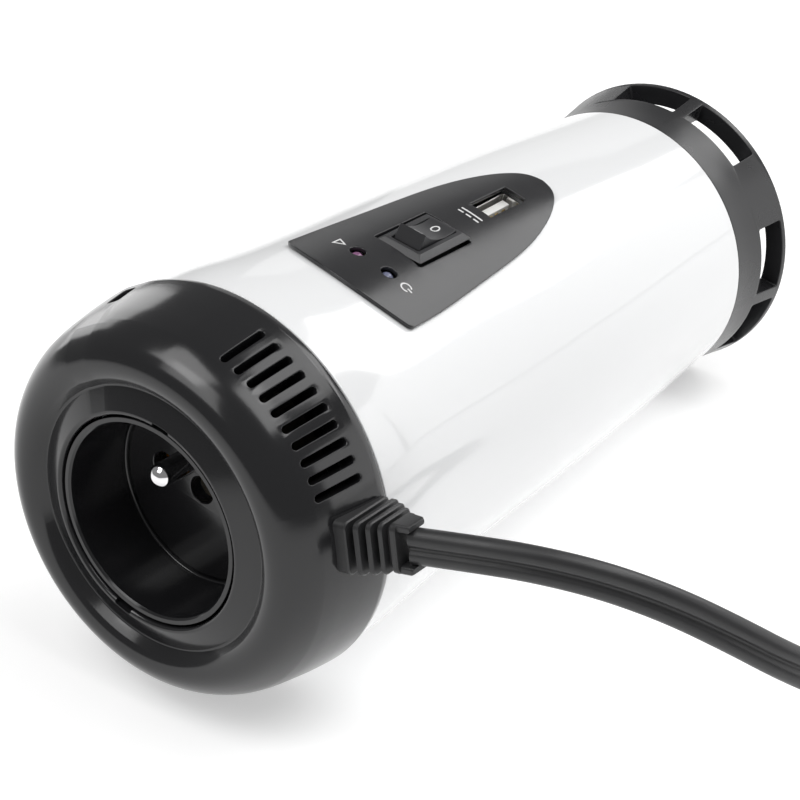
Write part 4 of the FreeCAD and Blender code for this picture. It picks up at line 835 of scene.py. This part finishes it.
def cord_profile():
    """The lead's section: two round cores side by side with a groove between them."""
    curve = bpy.data.curves.new("lead_section", "CURVE")
    curve.dimensions = "2D"
    spline = curve.splines.new("POLY")
    radius, centre = 1.9, 1.7
    right = [(centre + radius * math.cos(math.radians(a)), radius * math.sin(math.radians(a)))
             for a in range(-120, 121, 12)]
    top = [(0.45, 1.22), (0.0, 1.02), (-0.45, 1.22)]
    left = [(-x, -y) for x, y in right]
    bottom = [(-x, -y) for x, y in top]
    points = right + top + left + bottom
    spline.points.add(len(points) - 1)
    for point, (x, y) in zip(spline.points, points):
        point.co = (x * MM, y * MM, 0, 1)
    spline.use_cyclic_u = True
    section = bpy.data.objects.new("lead_section", curve)
    bpy.context.scene.collection.objects.link(section)
    section.hide_render = True
    section.hide_viewport = True
    return section


def lead_piece():
    """The flat lead: from the relief down to the floor, round its coil and up to the plug."""
    route = [(point, 90.0) for point in ROUTE_OUT[:7]]
    turns = (75.0, 50.0, 25.0, 8.0, 0.0, 0.0, 0.0)
    route += list(zip(ROUTE_OUT[7:], turns))
    reach = COIL_R / math.cos(math.pi / COIL_STEPS) ** 0.5
    for k in range(1, int(1.5 * COIL_STEPS)):
        turn = 2 * math.pi * k / COIL_STEPS
        layer = 2.5 + 4.0 * min(max((k - COIL_STEPS * 0.82) / (COIL_STEPS * 0.3), 0.0), 1.0)
        x, y = COIL_CENTRE[0] - reach * math.cos(turn), COIL_CENTRE[1] + reach * math.sin(turn)
        route.append(((x, y, layer), 0.0))
    route += [(point, 0.0) for point in ROUTE_IN]
    curve = bpy.data.curves.new("lead", "CURVE")
    curve.dimensions = "3D"
    curve.twist_mode = "Z_UP"
    curve.resolution_u = 12
    curve.bevel_mode = "OBJECT"
    curve.bevel_object = cord_profile()
    curve.use_fill_caps = True
    spline = curve.splines.new("NURBS")
    spline.points.add(len(route) - 1)
    for point, (place, tilt) in zip(spline.points, route):
        point.co = (*(value * MM for value in place), 1)
        point.tilt = math.radians(tilt)
    spline.order_u = 3
    spline.use_endpoint_u = True
    lead = finished(bpy.data.objects.new("lead", curve), "housing", RUBBER,
                    ["power_cord", "power_cord_end", "cord_coil"])


# ---- finishes of the CAD nodes that stay ------------------------------------------------------------

def finish_nodes():
    """Give every CAD node that still shows the finish of its own slot."""
    by_slot = {"black_gloss": GLOSS_BLACK, "white_gloss": WHITE, "black_satin": SATIN_BLACK,
               "panel_grey": PANEL_GREY, "white_plastic": WHITE_NYLON, "beige_plastic": BEIGE,
               "nickel": NICKEL, "steel": STEEL, "brass": BRASS, "aluminium": ALUMINIUM,
               "circuit_board": BOARD, "ferrite": FERRITE, "winding_tape": TAPE, "glass": GLASS,
               "clear_lens": LENS_RED, "black_rubber": RUBBER}
    for row in frame["record"]["subparts"]:
        for material_slot in nodes[row["node"]].material_slots:
            material_slot.material = by_slot[row["material_slot"]]


cap_piece()
body_piece()
ring_piece()
socket_pieces()
panel_piece()
panel_marks()
led("lamp_fault", -1, LENS_RED, "led_fault")
led("lamp_power", 1, LENS_BLUE, "led_power")
switch_pieces()
usb_pieces()
relief_piece()
lead_piece()
finish_nodes()


# ---- stage ------------------------------------------------------------------------------------------

def floor():
    """A pale floor under the object."""
    bpy.ops.mesh.primitive_plane_add(size=6, location=(0, 0, -0.0002))
    sheet = bpy.context.object
    sheet.name = "floor"
    sheet.data.materials.append(surface("floor_paper", (0.70, 0.70, 0.70), 0.7, bump=(300, 0.02),
                                        Emission_Color=(1, 1, 1, 1), Emission_Strength=0.45))


def softbox(name, elevation, azimuth, power):
    """A square softbox a metre away, which faces the object."""
    light = bpy.data.lights.new(name, "AREA")
    light.shape = "SQUARE"
    light.size = 0.5
    light.energy = power
    holder = bpy.data.objects.new(name, light)
    up, turn = math.radians(elevation), math.radians(azimuth)
    way = Vector((math.cos(up) * math.cos(turn), math.cos(up) * math.sin(turn), math.sin(up)))
    holder.location = Vector((0, 0, 0.04)) + way
    holder.rotation_euler = (-way).to_track_quat("-Z", "Y").to_euler()
    bpy.context.scene.collection.objects.link(holder)


def camera():
    """A long lens from the socket's side, above the lead."""
    lens = bpy.data.cameras.new("camera")
    lens.lens = 104.5
    lens.clip_start = 0.01
    holder = bpy.data.objects.new("camera", lens)
    holder.location = (0.2536, -0.3448, 0.2732)
    azimuth, elevation = math.radians(37.30), math.radians(29.99)
    ahead = Vector((-math.sin(azimuth) * math.cos(elevation), math.cos(azimuth) * math.cos(elevation),
                    -math.sin(elevation)))
    holder.rotation_euler = ahead.to_track_quat("-Z", "Y").to_euler()
    bpy.context.scene.collection.objects.link(holder)
    bpy.context.scene.camera = holder


def surroundings():
    world = bpy.data.worlds.new("studio")
    world.use_nodes = True
    back = world.node_tree.nodes["Background"]
    back.inputs["Color"].default_value = (1, 1, 1, 1)
    back.inputs["Strength"].default_value = 0.24
    bpy.context.scene.world = world
    bpy.context.scene.view_settings.view_transform = "Standard"


floor()
camera()
surroundings()
softbox("right", 62, 0, 2.8)
softbox("left", 62, 240, 2.8)
softbox("front", 48, 258, 2.0)
softbox("high_back_right", 56, 54, 2.2)
softbox("back", 36, 75, 2.2)
softbox("low_right", 13, 30, 1.2)
softbox("low_back_right", 13, 60, 1.0)
softbox("low_left", 13, 161, 1.8)
softbox("low_back", 12, 118, 0.3)
